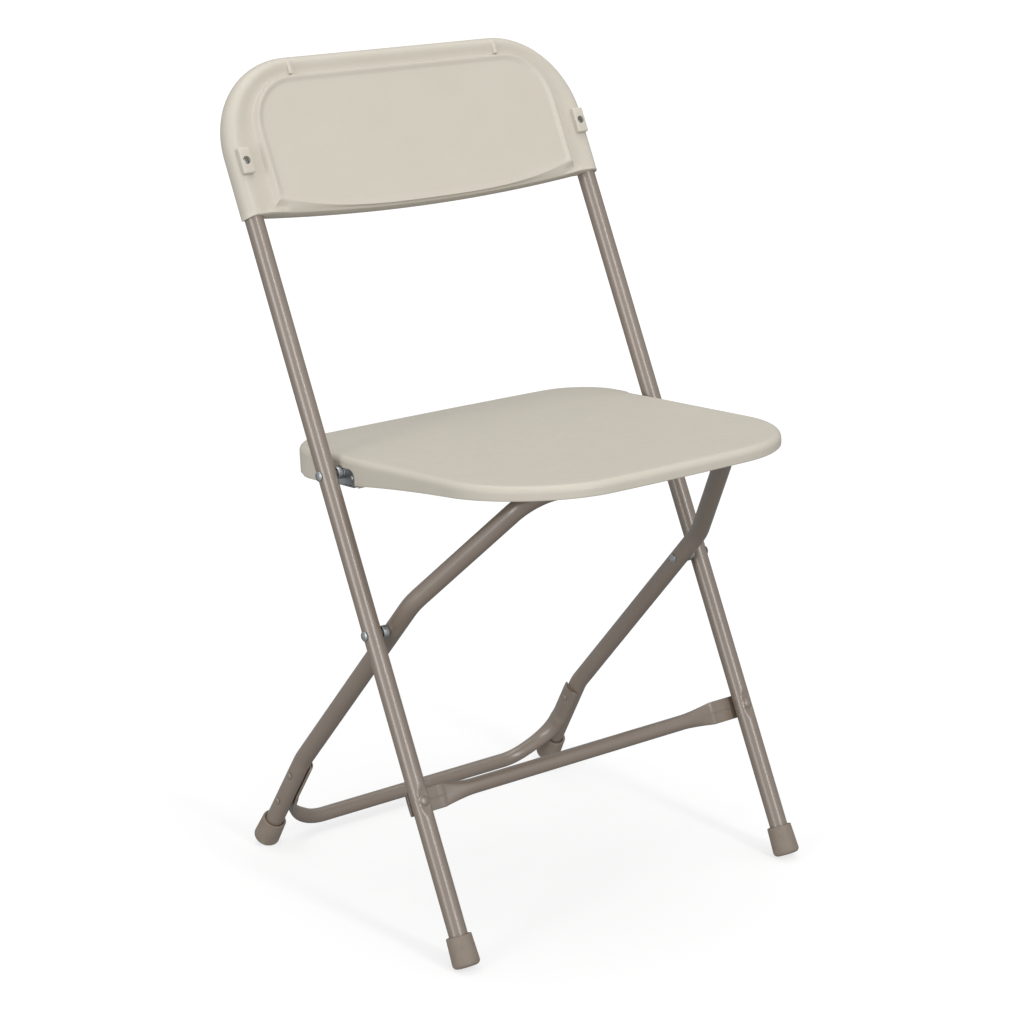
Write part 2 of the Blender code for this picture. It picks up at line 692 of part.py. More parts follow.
def back_rings(wall):
    """Rings from the middle of the rear face, round the edge, to the middle of the front face.

    With a wall it is the hollow inside, that much smaller all round.
    """
    low = PANEL_BOTTOM + wall
    bow, corner = PANEL_BOW, PANEL_CORNER_R
    valley_insets = (VALLEY_INSET + wall, VALLEY_TOP_INSET + wall)
    foot_insets = (PANEL_INSET - FOOT_OUT + wall, PANEL_TOP_INSET - FOOT_OUT_TOP + wall)
    crest_insets = (PANEL_INSET + wall, PANEL_TOP_INSET + wall)
    valley = panel_loop(*valley_insets, low - VALLEY_DROP, bow - FOOT_DROP, corner + VALLEY_DROP)
    foot = panel_loop(*foot_insets, low - FOOT_DROP, bow - FOOT_OUT_TOP, corner + FOOT_OUT / 2)
    crest = panel_loop(*crest_insets, low, bow, corner)
    edge = outer_loop(wall)
    shoulder = outer_loop(SHOULDER_INSET + wall)
    band = outer_loop(BAND_INSET + wall)
    rise = BAND_RISE - wall
    near_edge, near_band = EDGE_RISES
    outer, inner = REAR_FACE_SHARES[1], REAR_FACE_SHARES[0]
    lips = [lip - wall * share for lip, share in zip(LIP_RISES, (0, 0.5, 0.5, 1, 1, 1))]
    return [
        level(shrunk(edge, inner), -rise),
        level(shrunk(edge, outer), -rise),
        level(band, -rise),
        level(shoulder, -rise * near_band),
        level(edge, -rise * near_edge),
        level(edge, rise * near_edge, lips[0]),
        level(shoulder, rise * near_band, lips[1]),
        level(band, rise, lips[2]),
        level(valley, VALLEY_RISE - wall, lips[3]),
        level(foot, VALLEY_RISE + PANEL_DISH - wall, lips[4]),
        level(crest, PANEL_RISE - CREST_FALL - wall, lips[5]),
        level(shrunk(crest, PANEL_SHARES[0]), PANEL_RISE - wall),
        level(shrunk(crest, PANEL_SHARES[1]), PANEL_RISE - wall - PANEL_DISH),
    ]


def make_backrest(frame):
    shell = add_piece("backrest_shell", skin(back_rings(0.0)), "plastic", frame)
    half_x, half_z = BOSS_SIZE[0] / 2, BOSS_SIZE[1] / 2
    for side_name, side in SIDES.items():
        x = side * FRAME_HALF
        low = (x - half_x, -BOSS_RISE, BACK_SCREW_AT - half_z)
        high = (x + half_x, -TUBE_R / 2, BACK_SCREW_AT + half_z)
        boss = box(low, high)
        add_cutter(f"boss_{side_name}", boss, shell, "UNION")
        x = side * RIB_AT
        z = BACK_TOP - VALLEY_TOP_INSET - MM
        low = (x - RIB_SIZE[0] / 2, -BAND_RISE - MM, z)
        high = (x + RIB_SIZE[0] / 2, -TUBE_R / 2, z + RIB_SIZE[1])
        rib = box(low, high)
        add_cutter(f"rib_{side_name}", rib, shell, "UNION")
    add_cutter("back_hollow", skin(back_rings(BACK_WALL)), shell)
    head_seat = BAND_RISE + BOSS_PROUD
    for side_name, side in SIDES.items():
        x = side * FRAME_HALF
        start = (x, 0, BACK_SLEEVE_END - SOCKET_BELOW)
        depth = SOCKET_BELOW + BACK_SLEEVE + SOCKET_SPARE
        profile = [(0, 0), (TUBE_R + GAP, 0), (TUBE_R + GAP, depth), (0, depth)]
        socket = turned(profile, SOCKET_SIDES, phase=math.radians(3))
        add_cutter(f"socket_{side_name}", socket, shell, location=start)
        start = (x, 0, BACK_SCREW_AT)
        drill(shell, f"back_screw_hole_{side_name}", start, FORWARD, SCREW_R + PIN_GAP, SCREW_BORE)
        start = (x, -head_seat, BACK_SCREW_AT)
        drill(shell, f"back_screw_recess_{side_name}", start, FORWARD, SCREW_HEAD_R + 3 * PIN_GAP, HEAD_BORE)
        place = (x, -head_seat - GAP, BACK_SCREW_AT)
        add_piece(f"backrest_screw_{side_name}", screw_mesh(), "zinc", frame, place, FORWARD)


def screw_mesh():
    """A pan-head screw with a round recess: its head above z = 0 and its shank below."""
    profile = [
        (0, -SCREW_LENGTH - 0.75 * SCREW_R),
        (SCREW_R, -SCREW_LENGTH),
        (SCREW_R, 0),
        (SCREW_HEAD_R, 0),
        (SCREW_HEAD_R, SCREW_HEAD * 0.45),
        (SCREW_HEAD_R * 0.8, SCREW_HEAD * 0.9),
        (SCREW_HEAD_R * 0.42, SCREW_HEAD),
        (SCREW_HEAD_R * 0.3, SCREW_HEAD - SCREW_RECESS),
        (0, SCREW_HEAD - SCREW_RECESS),
    ]
    return turned(profile, PIN_SIDES)


# Rear frame


def leg_corners(side):
    """The centre line of one rear leg, from its foot up to the top bar's corner."""
    turn = Matrix.Rotation(-LOWER_BEND, 3, "X")
    bend = Vector((side * REAR_HALF, 0, -lower_bend_at()))
    rise = foot_raise(rear_foot_lean()) + CAP_FLOOR + GAP
    reach = LOWER_LENGTH - rise
    foot = bend + turn @ Vector((side * FOOT_SPLAY * reach / LOWER_LENGTH, 0, -reach))
    knee = Vector((side * REAR_HALF, 0, UPPER_BEND_AT))
    top = rear_reach().length
    corner = Vector((side * upper_leg_x(top), 0, top))
    return [foot, bend, knee, corner]


def upper_leg_x(above):
    """The leg's distance from the middle, that far above the crossing pivot."""
    return REAR_HALF - math.tan(UPPER_INWARD) * max(0.0, above - UPPER_BEND_AT)


def lower_leg_x(below):
    """The same, that far below the lower bend."""
    return REAR_HALF + FOOT_SPLAY * below / LOWER_LENGTH


def make_rear_legs(frame):
    corners = leg_corners(-1) + leg_corners(1)[::-1]
    radii = [LEG_BEND_R, LEG_BEND_R, TOP_BAR_BEND_R, TOP_BAR_BEND_R, LEG_BEND_R, LEG_BEND_R]
    legs = add_piece("rear_leg_frame", pipe(rounded_path(corners, radii), TUBE_R), "frame_paint", frame)
    reach = 2 * TUBE_R + 2 * OVERCUT
    for side_name, side in SIDES.items():
        start = (side * (REAR_HALF - TUBE_R - OVERCUT), 0, 0)
        drill(legs, f"leg_pivot_hole_{side_name}", start, facing(side), RIVET_R + PIN_GAP, reach)
    return legs


def saddle_ring(side, below, share, radius):
    """A round section beside the leg at share 0, pressed into a cup round the leg at share 1."""
    leg = lower_leg_x(below)
    shrink = BAR_R - radius
    cup = TUBE_R + GAP + FLAT_THICKNESS / 2
    centre = leg - TUBE_R - GAP - BAR_R
    ring = []
    for i in range(TUBE_SIDES):
        angle = 2 * math.pi * (i + 0.5) / TUBE_SIDES
        circle = (centre + radius * math.cos(angle), radius * math.sin(angle))
        depth = math.copysign(abs(math.cos(angle)) ** SADDLE_POWER, math.cos(angle))
        reach = cup - (FLAT_THICKNESS / 2 - shrink) * depth
        spread = (SADDLE_ANGLE - shrink / cup) * math.sin(angle)
        cupped = (leg - reach * math.cos(spread), reach * math.sin(spread))
        x = circle[0] + (cupped[0] - circle[0]) * share
        y = circle[1] + (cupped[1] - circle[1]) * share
        ring.append(Vector((side * x, y, -below)))
    return ring


def spreader_half(side, radius):
    """Rings from the saddle's tip, down beside the leg and round the bend to the straight bar."""
    rings = []
    bend_start = SPREADER_AT - SPREADER_BEND_R
    ease_from = bend_start - 2 * SADDLE_EASE
    stops = [SPREADER_TOP, ease_from]
    steps = 4
    for i in range(1, steps + 1):
        stops.append(ease_from + (bend_start - ease_from) * i / steps)
    for below in stops:
        share = 1 - 0.9 * smooth_step(below, ease_from, bend_start + SADDLE_EASE)
        rings.append(saddle_ring(side, below, share, radius))
    start_x = lower_leg_x(bend_start) - TUBE_R - GAP - BAR_R
    centre_x = start_x - SPREADER_BEND_R
    for i in range(1, 9):
        angle = math.pi / 2 * i / 8
        x = centre_x + SPREADER_BEND_R * math.cos(angle)
        below = bend_start + SPREADER_BEND_R * math.sin(angle)
        outward = Vector((side * math.cos(angle), 0, -math.sin(angle)))
        ring = []
        for j in range(TUBE_SIDES):
            turn = 2 * math.pi * (j + 0.5) / TUBE_SIDES
            offset = outward * (radius * math.cos(turn)) + Vector((0, radius * math.sin(turn), 0))
            ring.append(Vector((side * x, 0, -below)) + offset)
        rings.append(ring)
    return rings


def spreader_mesh():
    rings = []
    for radius in (BAR_R, BAR_R - TUBE_WALL):
        left = spreader_half(-1, radius)
        right = spreader_half(1, radius)
        run = left + right[::-1]
        rings += run if radius == BAR_R else run[::-1]
    return skin(rings, wrap=True)


def make_spreader(lower, legs):
    spreader = add_piece("rear_spreader", spreader_mesh(), "frame_paint", lower)
    for side_name, side in SIDES.items():
        for number, below in enumerate(SPREADER_RIVETS_AT, start=1):
            leg = lower_leg_x(below)
            inner = leg - TUBE_R - FLAT_THICKNESS - 2 * GAP
            outer = leg + TUBE_R + GAP
            name = f"{side_name}_{number}"
            turn = facing(side)
            start = (side * (inner - 2 * OVERCUT), 0, -below)
            depth = FLAT_THICKNESS + 2 * BAR_R
            drill(spreader, f"spreader_hole_{name}", start, turn, RIVET_R + PIN_GAP, depth)
            start = (side * (leg - TUBE_R - OVERCUT), 0, -below)
            depth = 2 * TUBE_R + 2 * OVERCUT
            hole = drill(legs, f"leg_hole_{name}", start, turn, RIVET_R + PIN_GAP, depth)
            hole.parent = lower
            rivet = rivet_mesh(outer - inner)
            place = (side * inner, 0, -below)
            add_piece(f"spreader_rivet_{name}", rivet, "frame_paint", lower, place, turn)


def make_rear_caps(lower):
    lean = rear_foot_lean()
    below = LOWER_LENGTH - foot_raise(lean)
    tilt = math.atan2(FOOT_SPLAY, LOWER_LENGTH)
    for side_name, side in SIDES.items():
        place = (side * lower_leg_x(below), 0, -below)
        make_cap(f"rear_foot_cap_{side_name}", lower, place, (0, -side * tilt, 0))


def make_bar_glides(frame):
    for side_name, side in SIDES.items():
        glide = ring_mesh(TUBE_R + GAP, TUBE_R + GAP + GLIDE_WALL, GLIDE_WIDTH, TUBE_SIDES)
        place = (side * (GUIDE_AT - GLIDE_WIDTH / 2), 0, rear_reach().length)
        add_piece(f"bar_glide_{side_name}", glide, "guide_plastic", frame, place, facing(side))


# Seat


def seat_outline(inset, samples=10):
    """(x, y) points round the seat, front to rear on the right and back on the left. Y is backwards."""
    front, rear = -SEAT_FRONT + inset, SEAT_REAR - inset
    front_r, rear_r = SEAT_FRONT_R - inset, SEAT_REAR_R - inset
    half = []
    for i in range(4):
        x = (SEAT_FRONT_HALF - inset - front_r) * i / 4
        half.append((x, front))
    front_half, rear_half = SEAT_FRONT_HALF - inset, SEAT_REAR_HALF - inset
    for i in range(samples + 1):
        angle = math.pi / 2 * i / samples
        x = front_half - front_r + front_r * math.sin(angle)
        half.append((x, front + front_r * (1 - math.cos(angle))))
    for share in (0.25, 0.5, 0.75, 1.0):
        y = front + front_r + (-BRACKET_FRONT - SEAT_SIDE_AHEAD - front - front_r) * share
        half.append((side_half(y) - inset, y))
    half.append((SEAT_SIDE_HALF - inset, BRACKET_REAR + SEAT_SIDE_BEHIND))
    half.append((rear_half, BRACKET_REAR + SEAT_SIDE_BEHIND + SEAT_FLARE_LENGTH))
    for i in range(samples + 1):
        angle = math.pi / 2 * i / samples
        half.append((rear_half - rear_r + rear_r * math.cos(angle), rear - rear_r + rear_r * math.sin(angle)))
    for i in range(1, 4):
        half.append(((rear_half - rear_r) * (1 - i / 4), rear))
    half.append((0.0, rear))
    bowed = [(x, y - bow_at(x, y)) for x, y in half]
    left = [(-x, y) for x, y in reversed(bowed[1:-1])]
    return bowed + left


def side_half(y):
    """Half the seat's width along its straight side, wider towards the pivot."""
    start = -SEAT_FRONT + SEAT_FRONT_R
    share = (y - start) / (-BRACKET_FRONT - SEAT_SIDE_AHEAD - start)
    return SEAT_FRONT_HALF + (SEAT_SIDE_HALF - SEAT_FRONT_HALF) * share


def bow_at(x, y):
    """The front edge curves forward in the middle, and the rear edge backward by half as much."""
    middle = max(0.0, 1 - (x / SEAT_FRONT_HALF) ** 2)
    ahead = max(0.0, -y / SEAT_FRONT)
    behind = max(0.0, y / SEAT_REAR)
    return SEAT_BOW * middle * (ahead ** 4 - 0.5 * behind ** 4)


def skirt_depth(y):
    """The skirt deepens from the front edge back to the pivot."""
    share = min(max((y + SEAT_FRONT) / SEAT_FRONT, 0.0), 1.0)
    return SKIRT_FRONT + (SKIRT_REAR - SKIRT_FRONT) * share ** 2


def seat_ring(inset, drop, share=1.0):
    """A ring at that inset, dropped from the top, or down the skirt where drop is a function."""
    ring = []
    middle = (SEAT_REAR - SEAT_FRONT) / 2
    for x, y in seat_outline(inset):
        fall = drop(y) if callable(drop) else drop
        ring.append(Vector((x * share, middle + (y - middle) * share, SEAT_TOP - fall)))
    return ring


def seat_shell_mesh():
    edge = SEAT_EDGE_R
    inner = SEAT_WALL
    flat = edge * 2.2
    rings = [seat_ring(flat, 0.0, SEAT_TOP_SHARE), seat_ring(flat, 0.0)]
    for i in range(1, 5):
        angle = math.pi / 2 * i / 4
        rings.append(seat_ring(edge * (1 - math.sin(angle)), edge * (1 - math.cos(angle))))
    rings.append(seat_ring(0.0, lambda y: skirt_depth(y) - SKIRT_CHAMFER))
    rings.append(seat_ring(SKIRT_CHAMFER, skirt_depth))
    rings.append(seat_ring(inner, skirt_depth))
    rings.append(seat_ring(inner + MM, edge))
    rings.append(seat_ring(edge, inner))
    rings.append(seat_ring(flat, inner, SEAT_TOP_SHARE))
    return skin(rings)


def bracket_outline(grow, drop=0.0):
    """(y, z) outline of the bracket's dish: round at its front, square at its rear.

    A drop carries its bottom edge down, for the notch that opens below it.
    """
    front, rear = -BRACKET_FRONT - grow, BRACKET_REAR + grow
    low, high = BRACKET_BOTTOM - grow - drop, BRACKET_TOP + grow
    corner = BRACKET_CORNER + grow
    radii = (corner, corner, corner, BRACKET_FRONT_CORNER + grow)
    return rounded_rectangle((front, low), (rear, high), radii)


def bracket_mesh(side):
    """A shallow pressed dish, its rim turned outwards."""
    rings = []
    for x, grow in (
        (BRACKET_INNER, 0.0),
        (BRACKET_OUTER, 0.0),
        (BRACKET_OUTER, -BRACKET_RIM),
        (BRACKET_FACE, -BRACKET_RIM),
    ):
        rings.append([Vector((side * x, y, z)) for y, z in bracket_outline(grow)])
    return skin(rings)


def ordered_box(one, other):
    """A box between two opposite corners, given in any order."""
    low = [min(pair) for pair in zip(one, other)]
    high = [max(pair) for pair in zip(one, other)]
    return box(low, high)


def cut_bracket_room(shell, side_name, side):
    """The notch that the bracket lies in, and the recess for the pivot's head and washer."""
    inner = BRACKET_INNER - GAP
    notch = prism(bracket_outline(GAP, SKIRT_REAR), side * inner, side * (SEAT_REAR_HALF + 4 * OVERCUT))
    add_cutter(f"bracket_notch_{side_name}", notch, shell)
    start = (side * (inner - BLOCK_THICKNESS - OVERCUT), 0, 0)
    recess = max(RIVET_HEAD_R, PIVOT_WASHER_R) + 2 * GAP
    depth = BLOCK_THICKNESS + BRACKET_DEPTH + SEAT_REAR_FLARE + RECESS_OVERRUN
    drill(shell, f"pivot_recess_{side_name}", start, facing(side), recess, depth)


def cut_leg_notch(shell, side_name, side):
    """Room in the rear skirt for the rear leg when the chair is folded."""
    middle = side * upper_leg_x(SEAT_PIVOT_AT - SEAT_REAR - CROSS_PIVOT_AT)
    low = (middle - LEG_NOTCH_HALF, SEAT_REAR - LEG_NOTCH_FORWARD, SEAT_TOP - 2 * SKIRT_REAR)
    high = (middle + LEG_NOTCH_HALF, SEAT_REAR + LEG_NOTCH_BACK, SEAT_TOP - SKIRT_REAR + LEG_NOTCH_UP)
    add_cutter(f"leg_notch_{side_name}", box(low, high), shell)


def make_seat_shell(frame):
    shell = add_piece("seat_shell", seat_shell_mesh(), "plastic", frame)
    for side_name, side in SIDES.items():
        block_inner = side * (BRACKET_INNER - GAP - BLOCK_THICKNESS)
        one = (block_inner, -BRACKET_FRONT - BLOCK_MARGIN, BRACKET_BOTTOM - GAP)
        other = (side * (SEAT_SIDE_HALF - MM), BRACKET_REAR + BLOCK_MARGIN, SEAT_TOP - MM)
        add_cutter(f"bracket_block_{side_name}", ordered_box(one, other), shell, "UNION")
    for side_name, side in SIDES.items():
        cut_bracket_room(shell, side_name, side)
        cut_leg_notch(shell, side_name, side)
    return shell


def small_rivet_mesh():
    """A small rivet that holds a bracket to its block, with x = 0 at the bracket's inner face."""
    head = BRACKET_THICKNESS + GAP
    depth = BLOCK_THICKNESS - 2.5 * OVERCUT
    profile = [
        (0, -depth),
        (SMALL_RIVET_R, -depth),
        (SMALL_RIVET_R, head),
        (SMALL_RIVET_HEAD_R, head),
        (SMALL_RIVET_HEAD_R * 0.7, head + SMALL_RIVET_HEAD),
        (0, head + SMALL_RIVET_HEAD),
    ]
    return turned(profile, PIN_SIDES)


def make_bracket(name, side, frame):
    """The dish with a boss round its pivot hole, which carries the washer."""
    bracket = add_piece(name, bracket_mesh(side), "zinc", frame)
    height = BRACKET_DEPTH - OVERCUT
    profile = [(0, 0), (PIVOT_WASHER_R, 0), (PIVOT_WASHER_R, height), (0, height)]
    start = (side * (BRACKET_INNER + OVERCUT), 0, 0)
    turn = facing(side)
    add_cutter(f"{name}_boss", turned(profile, PIN_SIDES), bracket, "UNION", start, turn)
    start = (side * (BRACKET_INNER - OVERCUT), 0, 0)
    drill(bracket, f"{name}_pivot_hole", start, turn, RIVET_R + PIN_GAP, BRACKET_DEPTH + 3 * OVERCUT)
    return bracket


def make_brackets(frame, shell):
    spots = {"front": BRACKET_RIVET_INSET - BRACKET_FRONT, "rear": BRACKET_REAR - BRACKET_RIVET_INSET}
    bore = SMALL_RIVET_R + PIN_GAP
    for side_name, side in SIDES.items():
        bracket = make_bracket(f"seat_bracket_{side_name}", side, frame)
        turn = facing(side)
        for spot, y in spots.items():
            name = f"{side_name}_{spot}"
            start = (side * (BRACKET_INNER - OVERCUT), y, BRACKET_RIVET_Z)
            drill(bracket, f"bracket_hole_{name}", start, turn, bore, BRACKET_DEPTH + 3 * OVERCUT)
            start = (side * (BRACKET_INNER - BLOCK_THICKNESS + OVERCUT), y, BRACKET_RIVET_Z)
            drill(shell, f"block_hole_{name}", start, turn, bore, BLOCK_THICKNESS)
            place = (side * BRACKET_INNER, y, BRACKET_RIVET_Z)
            add_piece(f"seat_bracket_rivet_{name}", small_rivet_mesh(), "zinc", frame, place, turn)


def guide_outline():
    """(y, z) outline of a rail under the seat, with a stop that hangs down in front of the bar."""
    bar_y, bar_z = top_bar_in_seat()
    front = GUIDE_SET_BACK - SEAT_FRONT
    roof = SEAT_TOP - SEAT_WALL - GAP
    sole = roof - GUIDE_RAIL
    stop = bar_y - TUBE_R - GLIDE_WALL - 2 * GAP
    bottom = bar_z - GUIDE_STOP_DROP
    return [
        (-GUIDE_REAR, roof),
        (front, roof),
        (front, roof - GUIDE_NOSE),
        (stop - GUIDE_STOP, bottom + GUIDE_STOP_EDGE),
        (stop - GUIDE_STOP * 0.75, bottom),
        (stop - GUIDE_STOP * 0.25, bottom),
        (stop, bottom + GUIDE_STOP_EDGE),
        (stop, sole),
        (-GUIDE_REAR, sole),
    ]


def make_guides(frame):
    for side_name, side in SIDES.items():
        low, high = side * GUIDE_AT - GUIDE_WIDTH / 2, side * GUIDE_AT + GUIDE_WIDTH / 2
        guide = prism(guide_outline(), low, high)
        add_piece(f"seat_guide_{side_name}", guide, "guide_plastic", frame)


def centre_on_floor(chair):
    """Moves the chair so that its box is centred over the origin, with its feet at height 0."""
    bpy.context.view_layer.update()
    graph = bpy.context.evaluated_depsgraph_get()
    low, high = [math.inf] * 3, [-math.inf] * 3
    for obj in bpy.context.scene.objects:
        if obj.type != "MESH" or obj.hide_render:
            continue
        placed = obj.evaluated_get(graph)
        for vertex in placed.data.vertices:
            point = placed.matrix_world @ vertex.co
            low = [min(a, b) for a, b in zip(low, point)]
            high = [max(a, b) for a, b in zip(high, point)]
    chair.location = (-(low[0] + high[0]) / 2, -(low[1] + high[1]) / 2, -low[2])


def main():
    clear_scene()
    chair = add_empty("folding_chair")
    front = add_empty("front_frame", chair, turn_x=-LEAN)
    rear = add_empty("rear_frame", chair, along_uprights(CROSS_PIVOT_AT), rear_angle())
    lower = add_empty("rear_feet", rear, (0, 0, -lower_bend_at()), -LOWER_BEND)
    seat = add_empty("seat_frame", chair, along_uprights(SEAT_PIVOT_AT), -SEAT_TILT)

    make_uprights(front)
    make_front_brace(front)
    make_front_caps(front)
    make_cross_pivots(front)
    make_seat_pivots(front)
    make_backrest(front)

    legs = make_rear_legs(rear)
    make_spreader(lower, legs)
    make_rear_caps(lower)
    make_bar_glides(rear)

    shell = make_seat_shell(seat)
    make_brackets(seat, shell)
    make_guides(seat)

    centre_on_floor(chair)


main()
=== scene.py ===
"""The looks of a folding chair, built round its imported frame.

Each visible piece is modelled in the frame of the part that carries it: the uprights, the rear
legs above or below their bend, or the seat. Those frames are worked out from the nodes' boxes.
"""

import json
import math

import bmesh
import bpy
from mathutils import Matrix, Vector


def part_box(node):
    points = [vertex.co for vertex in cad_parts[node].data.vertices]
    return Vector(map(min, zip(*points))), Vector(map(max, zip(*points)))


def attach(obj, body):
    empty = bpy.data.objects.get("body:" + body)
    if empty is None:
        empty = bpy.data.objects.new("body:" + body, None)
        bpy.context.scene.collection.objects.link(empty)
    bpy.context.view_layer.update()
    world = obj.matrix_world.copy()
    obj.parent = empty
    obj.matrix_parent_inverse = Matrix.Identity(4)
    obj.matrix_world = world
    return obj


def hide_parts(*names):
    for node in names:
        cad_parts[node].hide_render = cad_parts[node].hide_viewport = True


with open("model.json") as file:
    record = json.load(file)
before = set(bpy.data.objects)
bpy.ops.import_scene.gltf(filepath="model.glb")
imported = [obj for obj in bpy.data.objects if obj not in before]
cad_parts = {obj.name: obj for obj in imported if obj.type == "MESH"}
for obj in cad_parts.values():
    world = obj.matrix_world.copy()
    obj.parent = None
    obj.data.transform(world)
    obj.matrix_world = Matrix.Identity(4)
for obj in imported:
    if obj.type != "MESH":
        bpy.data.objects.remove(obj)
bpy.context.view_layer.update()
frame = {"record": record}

MM = 0.001
SIDES = {"left": -1, "right": 1}

# Tubes and fasteners, as in the frame
GAP = 0.3 * MM
TUBE_R = 19.05 * MM / 2
BAR_R = 15.9 * MM / 2
TUBE_WALL = 1.2 * MM
FLAT_THICKNESS = 3.6 * MM
RIVET_R = 3.0 * MM
RIVET_HEAD_R = 5.2 * MM
RIVET_HEAD = 2.4 * MM
SMALL_RIVET_R = 1.6 * MM
SMALL_RIVET_HEAD_R = 2.6 * MM
SMALL_RIVET_HEAD = 1.1 * MM
SCREW_R = 2.0 * MM
SCREW_HEAD_R = 3.1 * MM
SCREW_HEAD = 2.2 * MM
SCREW_HEAD_ROUND = 1.3 * MM
SCREW_LENGTH = 10.0 * MM
SCREW_POINT = 1.5 * MM
WASHER_R = 6.5 * MM

# Front frame
UPRIGHT_TOP = 840.0 * MM
BRACE_AT = 169.0 * MM
BRACE_FLAT_HEIGHT = 24.0 * MM
BRACE_FLAT_REACH = 35.0 * MM
BRACE_EASE = 39.0 * MM
BRACE_OVERHANG = -2.5 * MM
BRACE_SET_BACK = 3.0 * MM
BRACE_END_TRIM = 0.25 * MM
BRACE_STEP = 0.6 * MM
BRACE_STEP_EASE = 1.0 * MM
BRACE_RIDGE = 0.7 * MM
BRACE_RIDGE_WIDTH = 1.5 * MM
BRACE_RIVET_HEAD_R = 4.9 * MM
DENT_DEPTH = 2.0 * MM
DENT_FLAT = 7.0 * MM
DENT_REACH = 18.0 * MM
DENT_EASE = 0.9 * MM
RIVET_RING = 0.55 * MM
RIVET_RING_R = 6.1 * MM
PRESSED_RING_WIDTH = 0.9 * MM

# Rear frame
LOWER_LENGTH = 132.6 * MM
LOWER_BEND = math.radians(10.4)
FOOT_SPLAY = 7.8 * MM
UPPER_BEND_AT = 45.5 * MM
UPPER_INWARD = math.radians(21.3)
LEG_BEND_R = 60.0 * MM
TOP_BAR_BEND_R = 42.0 * MM
SPREADER_AT = 115.0 * MM
SPREADER_TOP = 8.0 * MM
SPREADER_BEND_R = 50.0 * MM
SPREADER_RIVETS_AT = (24.0 * MM, 64.0 * MM)
SADDLE_ANGLE = math.radians(62)
SADDLE_POWER = 0.35
SADDLE_EASE = 12.0 * MM
SADDLE_CORNER = 5.0 * MM
SADDLE_TIP_SHARE = 0.34
SADDLE_END_SHARE = 0.8
SADDLE_BULGE = 0.7 * MM
SADDLE_BULGE_R = 5.5 * MM
LEG_GROOVE = 0.45 * MM
LEG_GROOVE_R = 5.0 * MM
LEG_FLAT_R = 4.5 * MM
LEG_FLAT = 0.5 * MM
SPREADER_RIVET_R = 2.6 * MM
SPREADER_RIVET_HEAD_R = 4.2 * MM
SPREADER_RIVET_HEAD = 1.7 * MM

# Foot caps
CAP_TOP_R = 12.9 * MM
CAP_FOOT_R = 13.9 * MM
CAP_HEIGHT = 31.0 * MM
CAP_FLOOR = 6.0 * MM
CAP_FLAT = 2.6 * MM
CAP_FOOT_ROUND = 4.5 * MM
CAP_LIP = 0.8 * MM
CAP_BORE_GAP = 0.55 * MM

# Seat, measured from the seat pivot
SEAT_FRONT = 278.0 * MM
SEAT_REAR = 106.0 * MM
SEAT_TOP = 16.5 * MM
SEAT_SIDE_HALF = 198.5 * MM
SEAT_FRONT_HALF = 195.5 * MM
SEAT_REAR_HALF = 202.5 * MM
SEAT_WALL = 3.0 * MM
SEAT_FRONT_R = 108.0 * MM
SEAT_REAR_R = 60.0 * MM
SEAT_BOW = 8.0 * MM
SEAT_EDGE_R = 7.0 * MM
SEAT_LIP = 1.2 * MM
SKIRT_FRONT = 13.5 * MM
SKIRT_REAR = 30.0 * MM
LEG_NOTCH_HALF = 17.0 * MM
LEG_NOTCH_FORWARD = 57.0 * MM
LEG_NOTCH_BACK = 20.0 * MM
BRACKET_FRONT = 24.0 * MM
BRACKET_REAR = 20.0 * MM
BRACKET_TOP = 5.0 * MM
BRACKET_BOTTOM = -13.0 * MM
BRACKET_FRONT_CORNER = 8.0 * MM
BRACKET_CORNER = 3.0 * MM
BRACKET_THICKNESS = 1.8 * MM
BRACKET_DISH_AT = 3.4 * MM
BRACKET_RIM = 1.5 * MM
BRACKET_DEPTH = 4.6 * MM
BRACKET_RIVET_INSET = 6.5 * MM
BRACKET_RIVET_Z = -4.0 * MM
BLOCK_THICKNESS = 9.0 * MM
BLOCK_MARGIN = 2.0 * MM
BLOCK_SIDE_INSET = 3.0 * MM
BLOCK_TOP_INSET = 4.0 * MM
BRACKET_ROOM = 0.5 * MM
PIVOT_ROOM_R = 7.1 * MM
PIVOT_ROOM_LENGTH = 28.0 * MM
SEAT_STRAIGHT_END = -BRACKET_FRONT - 8 * MM
GUIDE_AT = 50.0 * MM
GUIDE_WIDTH = 14.0 * MM
GUIDE_RAIL = 5.0 * MM
GUIDE_REAR = 40.0 * MM
GUIDE_SET_BACK = 10.0 * MM
GUIDE_NOSE = 6.0 * MM
GUIDE_STOP_DROP = 8.0 * MM
GUIDE_STOP = 8.0 * MM
GUIDE_STOP_EDGE = 3.0 * MM
GUIDE_ROUND = 1.5 * MM
GUIDE_BEVEL = 0.6 * MM
GLIDE_WALL = 2.4 * MM
GLIDE_WIDTH = 18.0 * MM

# Backrest, in the frame of the uprights: y is backwards from their centre plane
BACK_HALF = 226.0 * MM
BACK_TOP = 927.0 * MM
BACK_SLEEVE_END = 766.0 * MM
BACK_CORNER_R = 95.0 * MM
BACK_SLEEVE_WIDTH = 26.0 * MM
BACK_BOW = 9.0 * MM
BACK_SCREW_AT = 822.0 * MM
BAND_RISE = 12.525 * MM
VALLEY_INSET = 31.0 * MM
VALLEY_TOP_INSET = 19.5 * MM
VALLEY_RISE = 10.4 * MM
PANEL_INSET = 39.0 * MM
PANEL_TOP_INSET = 24.0 * MM
PANEL_BOTTOM = 780.0 * MM
PANEL_BOW = 19.0 * MM
PANEL_CORNER_R = 52.0 * MM
PANEL_RISE = 16.0 * MM
BOSS_SIZE = (13.5 * MM, 27.0 * MM)
BOSS_RISE = 17.5 * MM
RIB_AT = 131.0 * MM
